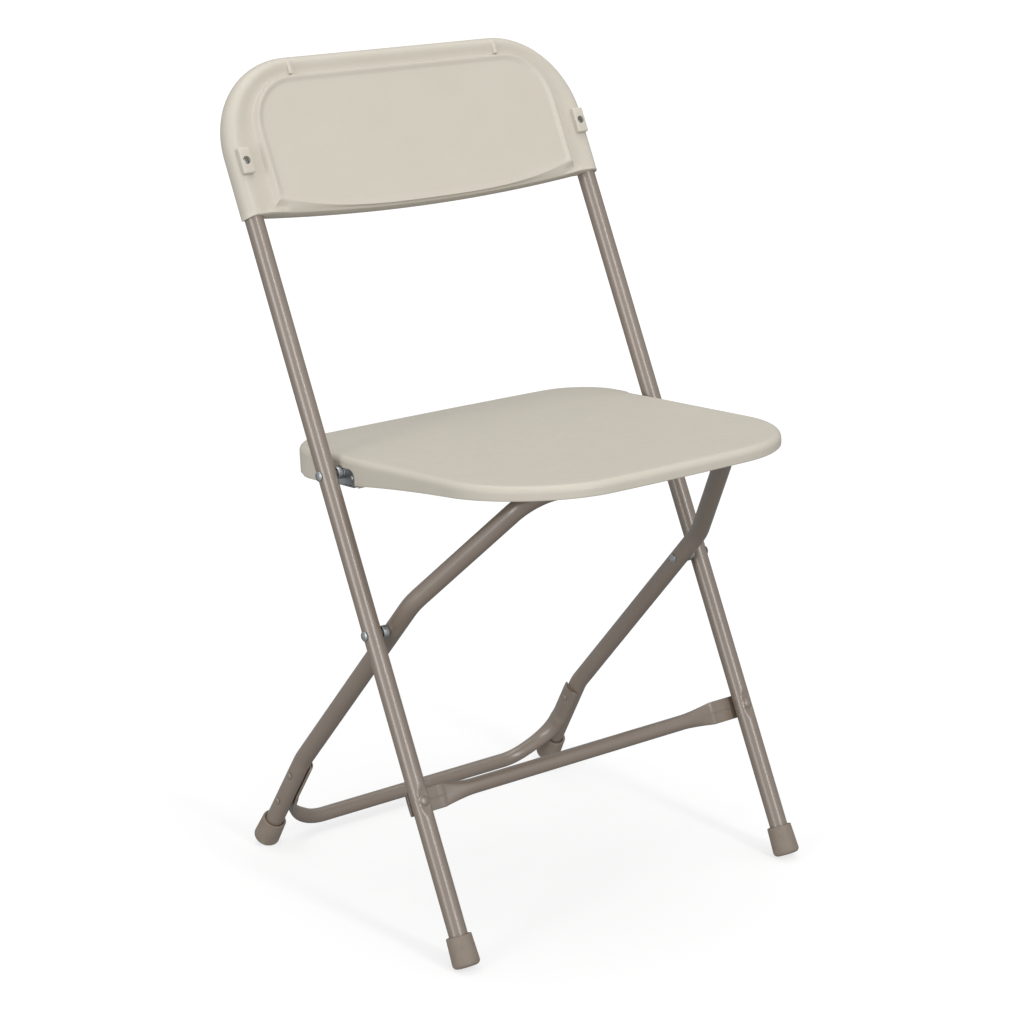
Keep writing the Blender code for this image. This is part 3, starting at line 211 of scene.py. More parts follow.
RIB_SIZE = (5.0 * MM, 14.0 * MM)
BOSS_BEVEL = 1.6 * MM
RIB_BEVEL = 1.2 * MM
SLEEVE_LENGTH = 85.0 * MM
SLEEVE_BELOW = 5.0 * MM
SCREW_RECESS_R = 4.2 * MM
BOTTOM_STEPS = 96
SIDE_STEPS = 10
CORNER_STEPS = 28
TOP_STEPS = 40

TUBE_SIDES = 64
SMOOTH_UNDER = math.radians(32)


# Frames


def middle_of(*nodes):
    """The centre of the nodes' boxes together."""
    boxes = [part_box(node) for node in nodes]
    low = Vector([min(b[0][i] for b in boxes) for i in range(3)])
    high = Vector([max(b[1][i] for b in boxes) for i in range(3)])
    return (low + high) / 2


def placed(point, turn_x):
    return Matrix.Translation(point) @ Matrix.Rotation(turn_x, 4, "X")


def both(stem):
    return [f"{stem}_{side}" for side in SIDES]


CROSS_PIVOT = middle_of(*both("cross_pivot_spacer"))
SEAT_PIVOT = middle_of(*both("seat_pivot_washer"))
CROSS_TO_SEAT = SEAT_PIVOT - CROSS_PIVOT
LEAN = math.atan2(CROSS_TO_SEAT.y, CROSS_TO_SEAT.z)
CROSS_PIVOT_AT = CROSS_PIVOT.z / math.cos(LEAN)
SEAT_PIVOT_AT = CROSS_PIVOT_AT + CROSS_TO_SEAT.length
FRAME_HALF = middle_of("upright_right").x
FRONT = placed(CROSS_PIVOT - CROSS_PIVOT_AT * CROSS_TO_SEAT.normalized(), -LEAN)

TO_TOP_BAR = middle_of(*both("bar_glide")) - CROSS_PIVOT
REAR_ANGLE = math.atan2(-TO_TOP_BAR.y, TO_TOP_BAR.z)
REAR_REACH = TO_TOP_BAR.length
REAR = placed(CROSS_PIVOT, REAR_ANGLE)

FOOT_LEAN = REAR_ANGLE - LOWER_BEND
UPPER_RIVETS = middle_of("spreader_rivet_left_1", "spreader_rivet_right_1")
DOWN_THE_FOOT = Vector((0, math.sin(FOOT_LEAN), -math.cos(FOOT_LEAN)))
LOWER = placed(UPPER_RIVETS - SPREADER_RIVETS_AT[0] * DOWN_THE_FOOT, FOOT_LEAN)
BEND_AT = (LOWER.translation - CROSS_PIVOT).length

SEAT_MOUNT = [m for m in frame["record"]["mounts"] if m["name"] == "seat_top"][0]
SEAT_TILT = math.atan2(SEAT_MOUNT["axis"][1], SEAT_MOUNT["axis"][2])
SEAT = placed(SEAT_PIVOT, -SEAT_TILT)

PIVOT_SPACER = 6.55 * MM
PIVOT_WASHER = 5.775 * MM
REAR_HALF = FRAME_HALF - 2 * TUBE_R - PIVOT_SPACER - 2 * GAP
BRACKET_OUTER = FRAME_HALF - TUBE_R - PIVOT_WASHER - 2 * GAP
BRACKET_FACE = BRACKET_OUTER - BRACKET_DEPTH + BRACKET_THICKNESS
BRACKET_INNER = BRACKET_FACE - BRACKET_THICKNESS
TOP_BAR_IN_SEAT = SEAT.inverted() @ (CROSS_PIVOT + TO_TOP_BAR)


# Materials


def fill(tree, node, **inputs):
    """Sets a node's inputs by name, with _ for a space, from values or from other sockets."""
    for name, value in inputs.items():
        socket = node.inputs[name.replace("_", " ")]
        if isinstance(value, bpy.types.NodeSocket):
            tree.links.new(value, socket)
        else:
            socket.default_value = value
    return node


def add_node(tree, kind, **inputs):
    return fill(tree, tree.nodes.new(kind), **inputs)


def noise(tree, place, scale, detail=3.0, rough=0.5):
    node = add_node(
        tree, "ShaderNodeTexNoise", Vector=place, Scale=scale, Detail=detail, Roughness=rough
    )
    return node.outputs["Fac"]


def spread(tree, value, low, high, from_low=0.3, from_high=0.7):
    """The value stretched from one range to another."""
    node = add_node(tree, "ShaderNodeMapRange", Value=value, To_Min=low, To_Max=high)
    return fill(tree, node, From_Min=from_low, From_Max=from_high).outputs["Result"]


def mixed(tree, factor, one, other):
    """One colour turning into the other as the factor rises."""
    node = tree.nodes.new("ShaderNodeMix")
    node.data_type = "RGBA"
    tree.links.new(factor, node.inputs["Factor"])
    for socket, colour in ((node.inputs[6], one), (node.inputs[7], other)):
        if isinstance(colour, bpy.types.NodeSocket):
            tree.links.new(colour, socket)
        else:
            socket.default_value = (*colour, 1.0)
    return node.outputs[2]


def mottled(tree, pattern, one, other):
    """Two colours in the patches of a noise pattern."""
    return mixed(tree, spread(tree, pattern, 0.0, 1.0), one, other)


def bumped(tree, height, distance, strength=1.0, under=None):
    node = add_node(tree, "ShaderNodeBump", Strength=strength, Distance=distance, Height=height)
    if under is not None:
        tree.links.new(under, node.inputs["Normal"])
    return node.outputs["Normal"]


def new_finish(name, specular=0.5, metallic=0.0):
    """An empty material with its tree, its shader and the coordinates that its patterns run in."""
    material = bpy.data.materials.new(name)
    material.use_nodes = True
    tree = material.node_tree
    shader = fill(tree, tree.nodes["Principled BSDF"], Metallic=metallic, Specular_IOR_Level=specular)
    place = tree.nodes.new("ShaderNodeTexCoord").outputs["Object"]
    return material, tree, shader, place


def edges_of(tree, low, high):
    """1 on sharp outward edges, 0 on flats."""
    pointed = tree.nodes.new("ShaderNodeNewGeometry").outputs["Pointiness"]
    return spread(tree, pointed, 0.0, 1.0, low, high)


def finish_plastic():
    """Moulded polypropylene: a fine matt grain, faint clouding, edges rubbed a little lighter."""
    material, tree, shader, place = new_finish("moulded_beige_plastic", specular=0.42)
    clouds = noise(tree, place, 22.0, 4.0, 0.62)
    blotches = noise(tree, place, 130.0)
    grain = noise(tree, place, 1500.0, 2.0)
    base = mottled(tree, clouds, (0.545, 0.508, 0.436), (0.560, 0.523, 0.450))
    speckled = mixed(tree, spread(tree, blotches, 0.0, 0.12), base, (0.525, 0.487, 0.412))
    rubbed = mixed(tree, edges_of(tree, 0.53, 0.62), speckled, (0.66, 0.62, 0.54))
    waves = bumped(tree, noise(tree, place, 45.0, 1.0), 0.08 * MM, 0.18)
    fill(
        tree,
        shader,
        Base_Color=rubbed,
        Roughness=spread(tree, blotches, 0.42, 0.50),
        Normal=bumped(tree, grain, 0.04 * MM, 0.35, waves),
    )
    return material


def finish_frame_paint():
    """Taupe powder coat: warm, half gloss, with a fine orange peel and light wear on the edges."""
    material, tree, shader, place = new_finish("taupe_powder_coat")
    fill(tree, shader, Coat_Weight=1.0, Coat_Roughness=0.38, Coat_IOR=1.8)
    clouds = noise(tree, place, 35.0)
    peel = noise(tree, place, 1500.0, 2.0)
    flecks = noise(tree, place, 2600.0, 1.0)
    base = mottled(tree, clouds, (0.196, 0.150, 0.114), (0.207, 0.159, 0.121))
    flecked = mixed(tree, spread(tree, flecks, 0.0, 0.3, 0.55, 0.75), base, (0.29, 0.24, 0.19))
    worn = mixed(tree, edges_of(tree, 0.56, 0.68), flecked, (0.36, 0.31, 0.26))
    rough = spread(tree, clouds, 0.30, 0.36)
    fill(tree, shader, Base_Color=worn, Roughness=rough, Normal=bumped(tree, peel, 0.01 * MM, 0.15))
    return material


def finish_zinc():
    """Zinc-plated steel: pale blue-grey, blotched in gloss and finely scratched."""
    material, tree, shader, place = new_finish("zinc_plate", 0.5, 1.0)
    blotches = noise(tree, place, 260.0, 4.0)
    scratches = bumped(tree, noise(tree, place, 3200.0, 1.0), 0.03 * MM, 0.4)
    base = mottled(tree, blotches, (0.40, 0.43, 0.45), (0.52, 0.545, 0.56))
    rough = spread(tree, blotches, 0.30, 0.42)
    fill(tree, shader, Base_Color=base, Roughness=rough, Normal=scratches)
    return material


def finish_cap_rubber():
    """Taupe rubber: matt, fine-grained and scuffed pale where it meets the floor."""
    material, tree, shader, place = new_finish("taupe_rubber", 0.35)
    dust = noise(tree, place, 90.0, 5.0, 0.6)
    grain = noise(tree, place, 1800.0, 2.0)
    height = add_node(tree, "ShaderNodeSeparateXYZ", Vector=place).outputs["Z"]
    low_down = spread(tree, height, 1.0, 0.0, 0.0, 9.0 * MM)
    scuffs = tree.nodes.new("ShaderNodeMath")
    scuffs.operation = "MULTIPLY"
    tree.links.new(low_down, scuffs.inputs[0])
    tree.links.new(spread(tree, dust, 0.0, 0.8, 0.42, 0.62), scuffs.inputs[1])
    base = mottled(tree, dust, (0.225, 0.184, 0.148), (0.262, 0.218, 0.178))
    scuffed = mixed(tree, scuffs.outputs[0], base, (0.36, 0.33, 0.29))
    rough = spread(tree, dust, 0.52, 0.68)
    fill(tree, shader, Base_Color=scuffed, Roughness=rough, Normal=bumped(tree, grain, 0.08 * MM, 0.6))
    return material


def finish_guide_plastic():
    """Slippery grey-beige plastic, slightly burnished where the glides run."""
    material, tree, shader, place = new_finish("guide_plastic_grey", 0.45)
    streaks = noise(tree, place, 180.0)
    grain = bumped(tree, noise(tree, place, 1600.0, 2.0), 0.05 * MM, 0.4)
    base = mottled(tree, streaks, (0.30, 0.28, 0.25), (0.37, 0.345, 0.31))
    rough = spread(tree, streaks, 0.34, 0.52)
    fill(tree, shader, Base_Color=base, Roughness=rough, Normal=grain)
    return material


FINISHES = {
    "plastic": finish_plastic(),
    "frame_paint": finish_frame_paint(),
    "zinc": finish_zinc(),
    "cap_rubber": finish_cap_rubber(),
    "guide_plastic": finish_guide_plastic(),
}


# Mesh tools


def mesh_of(shape):
    bmesh.ops.recalc_face_normals(shape, faces=shape.faces)
    mesh = bpy.data.meshes.new("shape")
    shape.to_mesh(mesh)
    shape.free()
    return mesh


def skin(rings, wrap=False):
    """A closed mesh through rings of points. A ring at one point becomes a pole."""
    shape = bmesh.new()
    rows = []
    for ring in rings:
        if max((point - ring[0]).length for point in ring) < 1e-7:
            rows.append([shape.verts.new(ring[0])] * len(ring))
        else:
            rows.append([shape.verts.new(point) for point in ring])
    pairs = list(zip(rows, rows[1:]))
    if wrap:
        pairs.append((rows[-1], rows[0]))
    for low, high in pairs:
        for i in range(len(low)):
            j = (i + 1) % len(low)
            corners = list(dict.fromkeys([low[i], low[j], high[j], high[i]]))
            if len(corners) > 2:
                shape.faces.new(corners)
    if not wrap:
        for row in (rows[0], rows[-1]):
            if row[0] is not row[1]:
                shape.faces.new(row)
    return mesh_of(shape)


def turned(profile, sides=48, wrap=False):
    """A turned solid about Z, from (radius, height) points."""
    rings = []
    for radius, height in profile:
        turns = [2 * math.pi * i / sides for i in range(sides)]
        rings.append([Vector((radius * math.cos(a), radius * math.sin(a), height)) for a in turns])
    return skin(rings, wrap)


def rod(radius, length, sides):
    """A solid cylinder up from z = 0, for cutting with."""
    return turned([(0, 0), (radius, 0), (radius, length), (0, length)], sides)


def arc(centre, radius, start, end, steps):
    """(x, y) points on an arc, its angles in degrees."""
    points = []
    for i in range(steps + 1):
        angle = math.radians(start + (end - start) * i / steps)
        points.append((centre[0] + radius * math.cos(angle), centre[1] + radius * math.sin(angle)))
    return points


def smooth_step(value, low, high):
    share = min(max((value - low) / (high - low), 0.0), 1.0)
    return share * share * (3 - 2 * share)


def hump(away, width):
    """1 at a line, falling off smoothly on both sides of it."""
    return math.exp(-((away / width) ** 2))


def spaced(start, end, step):
    """Values from start to end, both included, no further apart than the step."""
    count = max(1, math.ceil(abs(end - start) / step - 1e-6))
    return [start + (end - start) * i / count for i in range(count + 1)]


def rounded_path(corners, radii, step=math.radians(3)):
    """The polyline through corners, with each inner corner turned into an arc."""
    points = [corners[0]]
    for before, corner, after, radius in zip(corners, corners[1:], corners[2:], radii):
        inward = (corner - before).normalized()
        outward = (after - corner).normalized()
        turn = inward.angle(outward)
        centre = corner + (outward - inward).normalized() * radius / math.cos(turn / 2)
        start = corner - inward * radius * math.tan(turn / 2)
        axis = inward.cross(outward).normalized()
        steps = max(3, round(turn / step))
        for i in range(steps + 1):
            swing = Matrix.Rotation(turn * i / steps, 3, axis)
            points.append(centre + swing @ (start - centre))
    points.append(corners[-1])
    return points


def frames_along(points, across):
    """(point, sideways, upward) at each point, with the first sideways direction given."""
    frames = []
    for i, point in enumerate(points):
        before = points[max(i - 1, 0)]
        after = points[min(i + 1, len(points) - 1)]
        along = (after - before).normalized()
        across = (across - along * across.dot(along)).normalized()
        frames.append((point, across.copy(), along.cross(across)))
    return frames


def pipe(points, radius):
    """A hollow round tube along the points, open at both ends."""
    rings = []
    frames = frames_along(points, Vector((0, 1, 0)))
    turns = [2 * math.pi * i / TUBE_SIDES for i in range(TUBE_SIDES)]
    for r, walk in ((radius, frames), (radius - TUBE_WALL, reversed(frames))):
        for point, side, up in walk:
            rings.append([point + side * (r * math.cos(a)) + up * (r * math.sin(a)) for a in turns])
    return skin(rings, wrap=True)


def facing(side):
    """The turn that carries +Z outwards along X on that side."""
    return Matrix.Rotation(side * math.pi / 2, 4, "Y")


FORWARD = Matrix.Rotation(math.pi / 2, 4, "X")  # carries +Z to -Y


def linked(name, data):
    """A new object in the scene."""
    obj = bpy.data.objects.new(name, data)
    bpy.context.scene.collection.objects.link(obj)
    return obj


def add_piece(name, mesh, finish, body, matrix, *nodes):
    """A piece in its place, riding on its body, with a finish, and the nodes that it stands for."""
    mesh.transform(matrix)
    mesh.name = name
    mesh.materials.clear()
    mesh.materials.append(FINISHES[finish])
    mesh.shade_smooth()
    mesh.set_sharp_from_angle(angle=SMOOTH_UNDER)
    piece = linked(name, mesh)
    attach(piece, body)
    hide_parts(*nodes)


def add_pair(name, node, make, finish, body, place):
    """A left and a right piece. make and place turn a side, -1 or 1, into its mesh and matrix."""
    for word, side in SIDES.items():
        add_piece(name.format(word), make(side), finish, body, place(side), node.format(word))


def carved(mesh, steps):
    """The mesh after each (operation, mesh, matrix) Boolean step."""
    target = linked("target", mesh)
    helpers = []
    for operation, other, matrix in steps:
        helper = linked("helper", other)
        helper.matrix_world = matrix
        modifier = target.modifiers.new(operation, "BOOLEAN")
        modifier.operation = operation
        modifier.solver = "EXACT"
        modifier.object = helper
        helpers.append(helper)
    bpy.context.view_layer.update()
    evaluated = target.evaluated_get(bpy.context.evaluated_depsgraph_get())
    result = bpy.data.meshes.new_from_object(evaluated)
    for obj in [target] + helpers:
        bpy.data.objects.remove(obj)
    return result


def at(x, y, z):
    return Matrix.Translation((x, y, z))


def on_upright(side, back, along):
    """A place in the frame of the uprights, behind one tube's line and along it."""
    return FRONT @ at(side * FRAME_HALF, back, along)


def bevelled_box(low, high, bevel, segments=4):
    """A box with every edge rounded."""
    shape = bmesh.new()
    bmesh.ops.create_cube(shape, size=1.0)
    low, high = Vector(low), Vector(high)
    for vert in shape.verts:
        vert.co = Vector([(low[i] + high[i]) / 2 + vert.co[i] * (high[i] - low[i]) for i in range(3)])
    bmesh.ops.bevel(
        shape, geom=shape.edges[:], offset=bevel, segments=segments, profile=0.5, affect="EDGES"
    )
    return mesh_of(shape)


# Fasteners


def dome(radius, height, base, steps=8):
    """(radius, height) points of a domed head, from its sharp lower edge to its top."""
    lip = 0.16 * height
    points = [(radius - 0.06 * height, base), (radius, base + 0.5 * lip)]
    for i in range(steps + 1):
        angle = math.pi / 2 * i / steps
        points.append((radius * math.cos(angle), base + lip + (height - lip) * math.sin(angle)))
    return points[:-1] + [(0.0, base + height)]


def rivet_mesh(grip, head=RIVET_HEAD_R, height=RIVET_HEAD, shank=RIVET_R):
    """A domed rivet: its set head inside at z = 0 and its dome outside past z = grip."""
    tail = [(0, -0.8 * height), (0.42 * head, -0.8 * height), (0.5 * head, -0.62 * height)]
    tail += [(0.82 * head, -0.5 * height), (0.92 * head, -0.3 * height), (0.92 * head, 0)]
    return turned(tail + [(shank, 0), (shank, grip)] + dome(head, height, grip))


def ring_mesh(inner, outer, length, edge=0.4 * MM, sides=48):
    """A ring about Z with rounded edges."""
    profile = []
    corners = (
        (inner + edge, edge, 180, 270),
        (outer - edge, edge, 270, 360),
        (outer - edge, length - edge, 0, 90),
        (inner + edge, length - edge, 90, 180),
    )
    for x, z, start, end in corners:
        profile += arc((x, z), edge, start, end, 4)
    return turned(profile, sides, wrap=True)


def screw_mesh():
    """A pan-head screw with a recess: its head above z = 0 and its shank below."""
    recess = SCREW_HEAD - SCREW_HEAD_ROUND
    profile = [(0, -SCREW_LENGTH - SCREW_POINT), (SCREW_R, -SCREW_LENGTH), (SCREW_R, 0)]
    profile += [(SCREW_HEAD_R, 0), (SCREW_HEAD_R, 0.3 * SCREW_HEAD)]
    profile += arc((SCREW_HEAD_R - SCREW_HEAD_ROUND, recess), SCREW_HEAD_ROUND, 0, 90, 6)
    profile += [(0.48 * SCREW_HEAD_R, SCREW_HEAD), (0.40 * SCREW_HEAD_R, recess), (0, recess)]
    return turned(profile, 40)


# Front frame


def upright_mesh():
    """A straight tube. Its front is pressed flat round the brace's rivet, with a ring at the head."""
    foot = CAP_FLOOR + foot_raise(LEAN) + GAP
    near = DENT_REACH * 1.2
    heights = spaced(foot, BRACE_AT - near, 30 * MM)
    heights += spaced(BRACE_AT - near, BRACE_AT + near, 0.8 * MM)[1:]
    heights += spaced(BRACE_AT + near, UPRIGHT_TOP, 40 * MM)[1:]
    rings = []
    for r, walk in ((TUBE_R, heights), (TUBE_R - TUBE_WALL, heights[::-1])):
        for z in walk:
            dent = DENT_DEPTH * (1 - smooth_step(abs(z - BRACE_AT), DENT_FLAT, DENT_REACH))
            ring = []
            for i in range(TUBE_SIDES):
                angle = 2 * math.pi * i / TUBE_SIDES
                x, y = r * math.cos(angle), r * math.sin(angle)
                pressed = -r + dent
                if y < pressed - DENT_EASE:
                    y = pressed
                elif y < pressed + DENT_EASE:
                    y += (pressed + DENT_EASE - y) ** 2 / (4 * DENT_EASE)
                if y < 0:
                    away = math.hypot(x, z - BRACE_AT) - RIVET_RING_R
                    y += RIVET_RING * hump(away, PRESSED_RING_WIDTH)
                ring.append(Vector((x, y, z)))
            rings.append(ring)
    return skin(rings, wrap=True)


def make_uprights():
    add_pair(
        "{}_upright",
        "upright_{}",
        lambda side: upright_mesh(),
        "frame_paint",
        "front_frame",
        lambda side: on_upright(side, 0, 0),
    )


def brace_ring(x, share, radius, centre_y):
    """A round section at share 0, pressed at share 1 to a flat plate with a crease along its middle."""
    shrink = BAR_R - radius
    half_height = radius + (BRACE_FLAT_HEIGHT / 2 - shrink - radius) * share
    half_depth = radius + (FLAT_THICKNESS / 2 - shrink - radius) * share
    power = 1 - 0.6 * share
    inner_edge = FRAME_HALF - BRACE_FLAT_REACH
    ring = []
    for i in range(TUBE_SIDES):
        angle = 2 * math.pi * (i + 0.5) / TUBE_SIDES
        z = half_height * math.sin(angle)
        depth = half_depth * math.copysign(abs(math.cos(angle)) ** power, math.cos(angle))
        forward = 0.0
        if depth < 0:
            forward += BRACE_STEP * share ** 4 * smooth_step(z, -BRACE_STEP_EASE, BRACE_STEP_EASE)
        if depth < 0 and shrink == 0:
            forward += BRACE_RIDGE * hump(abs(x) - inner_edge, BRACE_RIDGE_WIDTH)
        ring.append(Vector((x, centre_y + depth - forward, z)))
    return ring


def brace_mesh():
    end = FRAME_HALF + TUBE_R + BRACE_OVERHANG
    flat_from = FRAME_HALF - BRACE_FLAT_REACH
    round_to = flat_from - BRACE_EASE
    stations = [end, end - 0.4 * MM] + spaced(end - 2 * MM, flat_from, 4 * MM)
    stations += spaced(flat_from, round_to, 1.3 * MM)[1:] + spaced(round_to, 0, 40 * MM)[1:-1]
    stations = [-x for x in stations] + [0.0] + stations[::-1]
    flat_centre = TUBE_R + GAP + FLAT_THICKNESS / 2
    round_centre = flat_centre + BRACE_SET_BACK
    rings = []
    for radius, walk in ((BAR_R, stations), (BAR_R - TUBE_WALL, stations[::-1])):
        for x in walk:
            run = min(max((abs(x) - round_to) / (flat_from - round_to), 0.0), 1.0)
            share = run ** 1.5
            trim = BRACE_END_TRIM if abs(x) > end - 0.1 * MM else 0.0
            centre = round_centre + (flat_centre - round_centre) * share
            rings.append(brace_ring(x, share, radius - trim, centre))
    return skin(rings, wrap=True)


def make_front_brace():
    place = FRONT @ at(0, 0, BRACE_AT)
    add_piece("front_cross_brace", brace_mesh(), "frame_paint", "front_frame", place, "front_brace")
    rear = TUBE_R + FLAT_THICKNESS + GAP
    grip = rear + TUBE_R - DENT_DEPTH
    add_pair(
        "{}_brace_rivet",
        "front_brace_rivet_{}",
        lambda side: rivet_mesh(grip, head=BRACE_RIVET_HEAD_R),
        "frame_paint",
        "front_frame",
        lambda side: on_upright(side, rear, BRACE_AT) @ FORWARD,
    )


def foot_raise(lean):
    """How far up the tube's line the bottom of a leaning cap stands, with its flat on the floor."""
    return (CAP_FOOT_R * math.sin(lean) - CAP_FLAT) / math.cos(lean)


def cap_mesh(to_world):
    """A turned cup with a rounded foot, worn flat by the floor."""
    bore = TUBE_R + CAP_BORE_GAP
    foot = CAP_FOOT_ROUND
    profile = [(0, 0), (0.5 * CAP_FOOT_R, 0)]
    profile += arc((CAP_FOOT_R - foot, foot), foot, -90, 0, 8)
    profile += arc((CAP_TOP_R - CAP_LIP, CAP_HEIGHT - CAP_LIP), CAP_LIP, 4, 90, 5)
    profile += arc((bore + CAP_LIP, CAP_HEIGHT - CAP_LIP), CAP_LIP, 90, 180, 5)
    profile += [(bore, CAP_FLOOR), (0, CAP_FLOOR)]
    mesh = turned(profile, 72)
    shape = bmesh.new()
    shape.from_mesh(mesh)
    everything = shape.verts[:] + shape.edges[:] + shape.faces[:]
    cut = bmesh.ops.bisect_plane(
        shape,
        geom=everything,
        plane_co=to_world.inverted() @ Vector((0, 0, 0)),
        plane_no=to_world.to_3x3().transposed() @ Vector((0, 0, 1)),
        clear_inner=True,
    )
    rim = [item for item in cut["geom_cut"] if isinstance(item, bmesh.types.BMEdge)]
    bmesh.ops.edgeloop_fill(shape, edges=rim)
    return mesh_of(shape)


def make_caps():
    for side_name, side in SIDES.items():
        place = FRONT @ at(side * FRAME_HALF, 0, foot_raise(LEAN))
        node = f"front_foot_cap_{side_name}"
        add_piece(f"{side_name}_front_foot", cap_mesh(place), "cap_rubber", "front_frame", place, node)
        below = LOWER_LENGTH - foot_raise(FOOT_LEAN)
        tilt = Matrix.Rotation(-side * math.atan2(FOOT_SPLAY, LOWER_LENGTH), 4, "Y")
        place = LOWER @ at(side * lower_leg_x(below), 0, -below) @ tilt
        node = f"rear_foot_cap_{side_name}"
        add_piece(f"{side_name}_rear_foot", cap_mesh(place), "cap_rubber", "rear_frame", place, node)


def make_pivots():
    """The rivets at the crossing and at the seat, and the rings between the parts that turn."""
    outer = FRAME_HALF + TUBE_R
    for side_name, side in SIDES.items():
        turn = facing(side)
        for stem, inner, along, ring_at, length in (
            ("cross", REAR_HALF - TUBE_R, CROSS_PIVOT_AT, REAR_HALF + TUBE_R + GAP, PIVOT_SPACER),
            ("seat", BRACKET_INNER, SEAT_PIVOT_AT, BRACKET_OUTER + GAP, PIVOT_WASHER),
        ):
            place = FRONT @ at(side * inner, 0, along) @ turn
            node = f"{stem}_pivot_rivet_{side_name}"
            name = f"{side_name}_{stem}_pivot"
            add_piece(name, rivet_mesh(outer - inner), "zinc", "front_frame", place, node)
            ring = "spacer" if stem == "cross" else "washer"
            place = FRONT @ at(side * ring_at, 0, along) @ turn
            node = f"{stem}_pivot_{ring}_{side_name}"
            mesh = ring_mesh(RIVET_R + 0.1 * MM, WASHER_R, length)
            add_piece(f"{side_name}_{stem}_{ring}", mesh, "zinc", "front_frame", place, node)


# Backrest


def back_loop(half, bottom, top, radius):
    """(x, z) points of one level, from its lower left corner along the bottom and round.

    The bottom is a function of x.
    """
    across = [-half * math.cos(math.pi * i / BOTTOM_STEPS) for i in range(BOTTOM_STEPS + 1)]
    points = [(x, bottom(x)) for x in across]
    low = points[-1][1]
    start = top - radius
    run = half - radius
    rising = [low + (start - low) * i / SIDE_STEPS for i in range(1, SIDE_STEPS)]
    points += [(half, z) for z in rising]
    points += arc((half - radius, start), radius, 0, 90, CORNER_STEPS)
    points += [(run * (1 - 2 * i / TOP_STEPS), top) for i in range(1, TOP_STEPS)]
    points += arc((radius - half, start), radius, 90, 180, CORNER_STEPS)
    points += [(-half, z) for z in reversed(rising)]
    return points


def bow(middle, rise, half, power=2.0):
    """A bottom edge that rises from the middle towards the sides."""
    return lambda x: middle + rise * min(1.0, abs(x) / half) ** power


def blended(one, other, share):
    return [(a + (c - a) * share, b + (d - b) * share) for (a, b), (c, d) in zip(one, other)]


def lifted(loop, rise, bottom_rise):
    """The loop lifted forward by rise, and by bottom_rise along the middle of its bottom edge."""
    ring = []
    for i, (x, z) in enumerate(loop):
        lift = rise
        if i <= BOTTOM_STEPS:
            share = smooth_step(abs(x), BACK_HALF - 52 * MM, BACK_HALF - 36 * MM)
            lift = bottom_rise + (rise - bottom_rise) * share
        ring.append(Vector((x, -lift, z)))
    return ring


def level(inset, top_inset, radius, lift=0.0, more=0.0):
    """The shell's outline drawn in from its edge, its bottom edge lifted and bowed a little more."""
    low, middle = BACK_SLEEVE_END - BACK_BOW + lift, BACK_HALF - BACK_SLEEVE_WIDTH
    bottom = bow(low, BACK_BOW + more, middle)
    return back_loop(BACK_HALF - inset, bottom, BACK_TOP - top_inset, radius)


def front_rings():
    """Rings from the backrest's edge over the band, the valley and the crest to the panel."""
    edge = level(0, 0, BACK_CORNER_R)
    band = level(10 * MM, 9 * MM, BACK_CORNER_R - 10 * MM, MM, MM)
    valley_r = PANEL_CORNER_R + 9 * MM
    valley = level(VALLEY_INSET, VALLEY_TOP_INSET, valley_r, 2 * MM, 3 * MM)
    crest_half, crest_top = BACK_HALF - PANEL_INSET, BACK_TOP - PANEL_TOP_INSET
    crest_low = bow(PANEL_BOTTOM - PANEL_BOW - MM, PANEL_BOW + MM, crest_half, 3.0)
    crest = back_loop(crest_half, crest_low, crest_top, PANEL_CORNER_R)
    panel_low = bow(PANEL_BOTTOM - PANEL_BOW + 6 * MM, PANEL_BOW - MM, crest_half, 3.0)
    panel = back_loop(crest_half - 8 * MM, panel_low, crest_top - 8 * MM, PANEL_CORNER_R - 8 * MM)
    rings = []
    for i in range(9):
        angle = math.pi / 2 * i / 8
        loop = blended(edge, band, 1 - math.cos(angle))
        rings.append(lifted(loop, BAND_RISE * math.sin(angle), 10.5 * MM * math.sin(angle)))
    for i in range(1, 11):
        share = i / 10
        fall = smooth_step(share, 0, 1)
        rise = BAND_RISE + (VALLEY_RISE - BAND_RISE) * fall
        rings.append(lifted(blended(band, valley, share), rise, (10.5 + 1.5 * share) * MM))
    for i in range(1, 11):
        share = i / 10
        climb = smooth_step(share, 0.25, 0.95)
        rise = VALLEY_RISE + (PANEL_RISE - VALLEY_RISE) * climb
        rings.append(lifted(blended(valley, crest, share), rise, (12 + 3 * share) * MM))
    for i in range(1, 7):
        share = i / 6
        rise = PANEL_RISE - 1.8 * MM * smooth_step(share, 0.05, 0.75)
        low_rise = 15 * MM + (PANEL_RISE - 1.8 * MM - 15 * MM) * share
        rings.append(lifted(blended(crest, panel, share), rise, low_rise))
    return rings


def rear_rings():
    """Rings from the middle of the rear face out to the edge."""
    edge = level(0, 0, BACK_CORNER_R)
    band = level(11 * MM, 10 * MM, BACK_CORNER_R - 11 * MM, 5 * MM)
    inner = level(36 * MM, 28 * MM, BACK_CORNER_R - 36 * MM, 24 * MM)
    sunk = level(39 * MM, 31 * MM, BACK_CORNER_R - 39 * MM, 27 * MM)
    rings = []
    for i in range(7):
        share = i / 6
        depth = -BAND_RISE + 2.2 * MM * smooth_step(share, 1, 0)
        rings.append(lifted(blended(sunk, inner, share), depth, depth))
    for i in range(1, 9):
        angle = math.pi / 2 * (1 - i / 8)
        loop = blended(edge, band, 1 - math.cos(angle))
        depth = -BAND_RISE * math.sin(angle)
        rings.append(lifted(loop, depth, depth))
    return rings


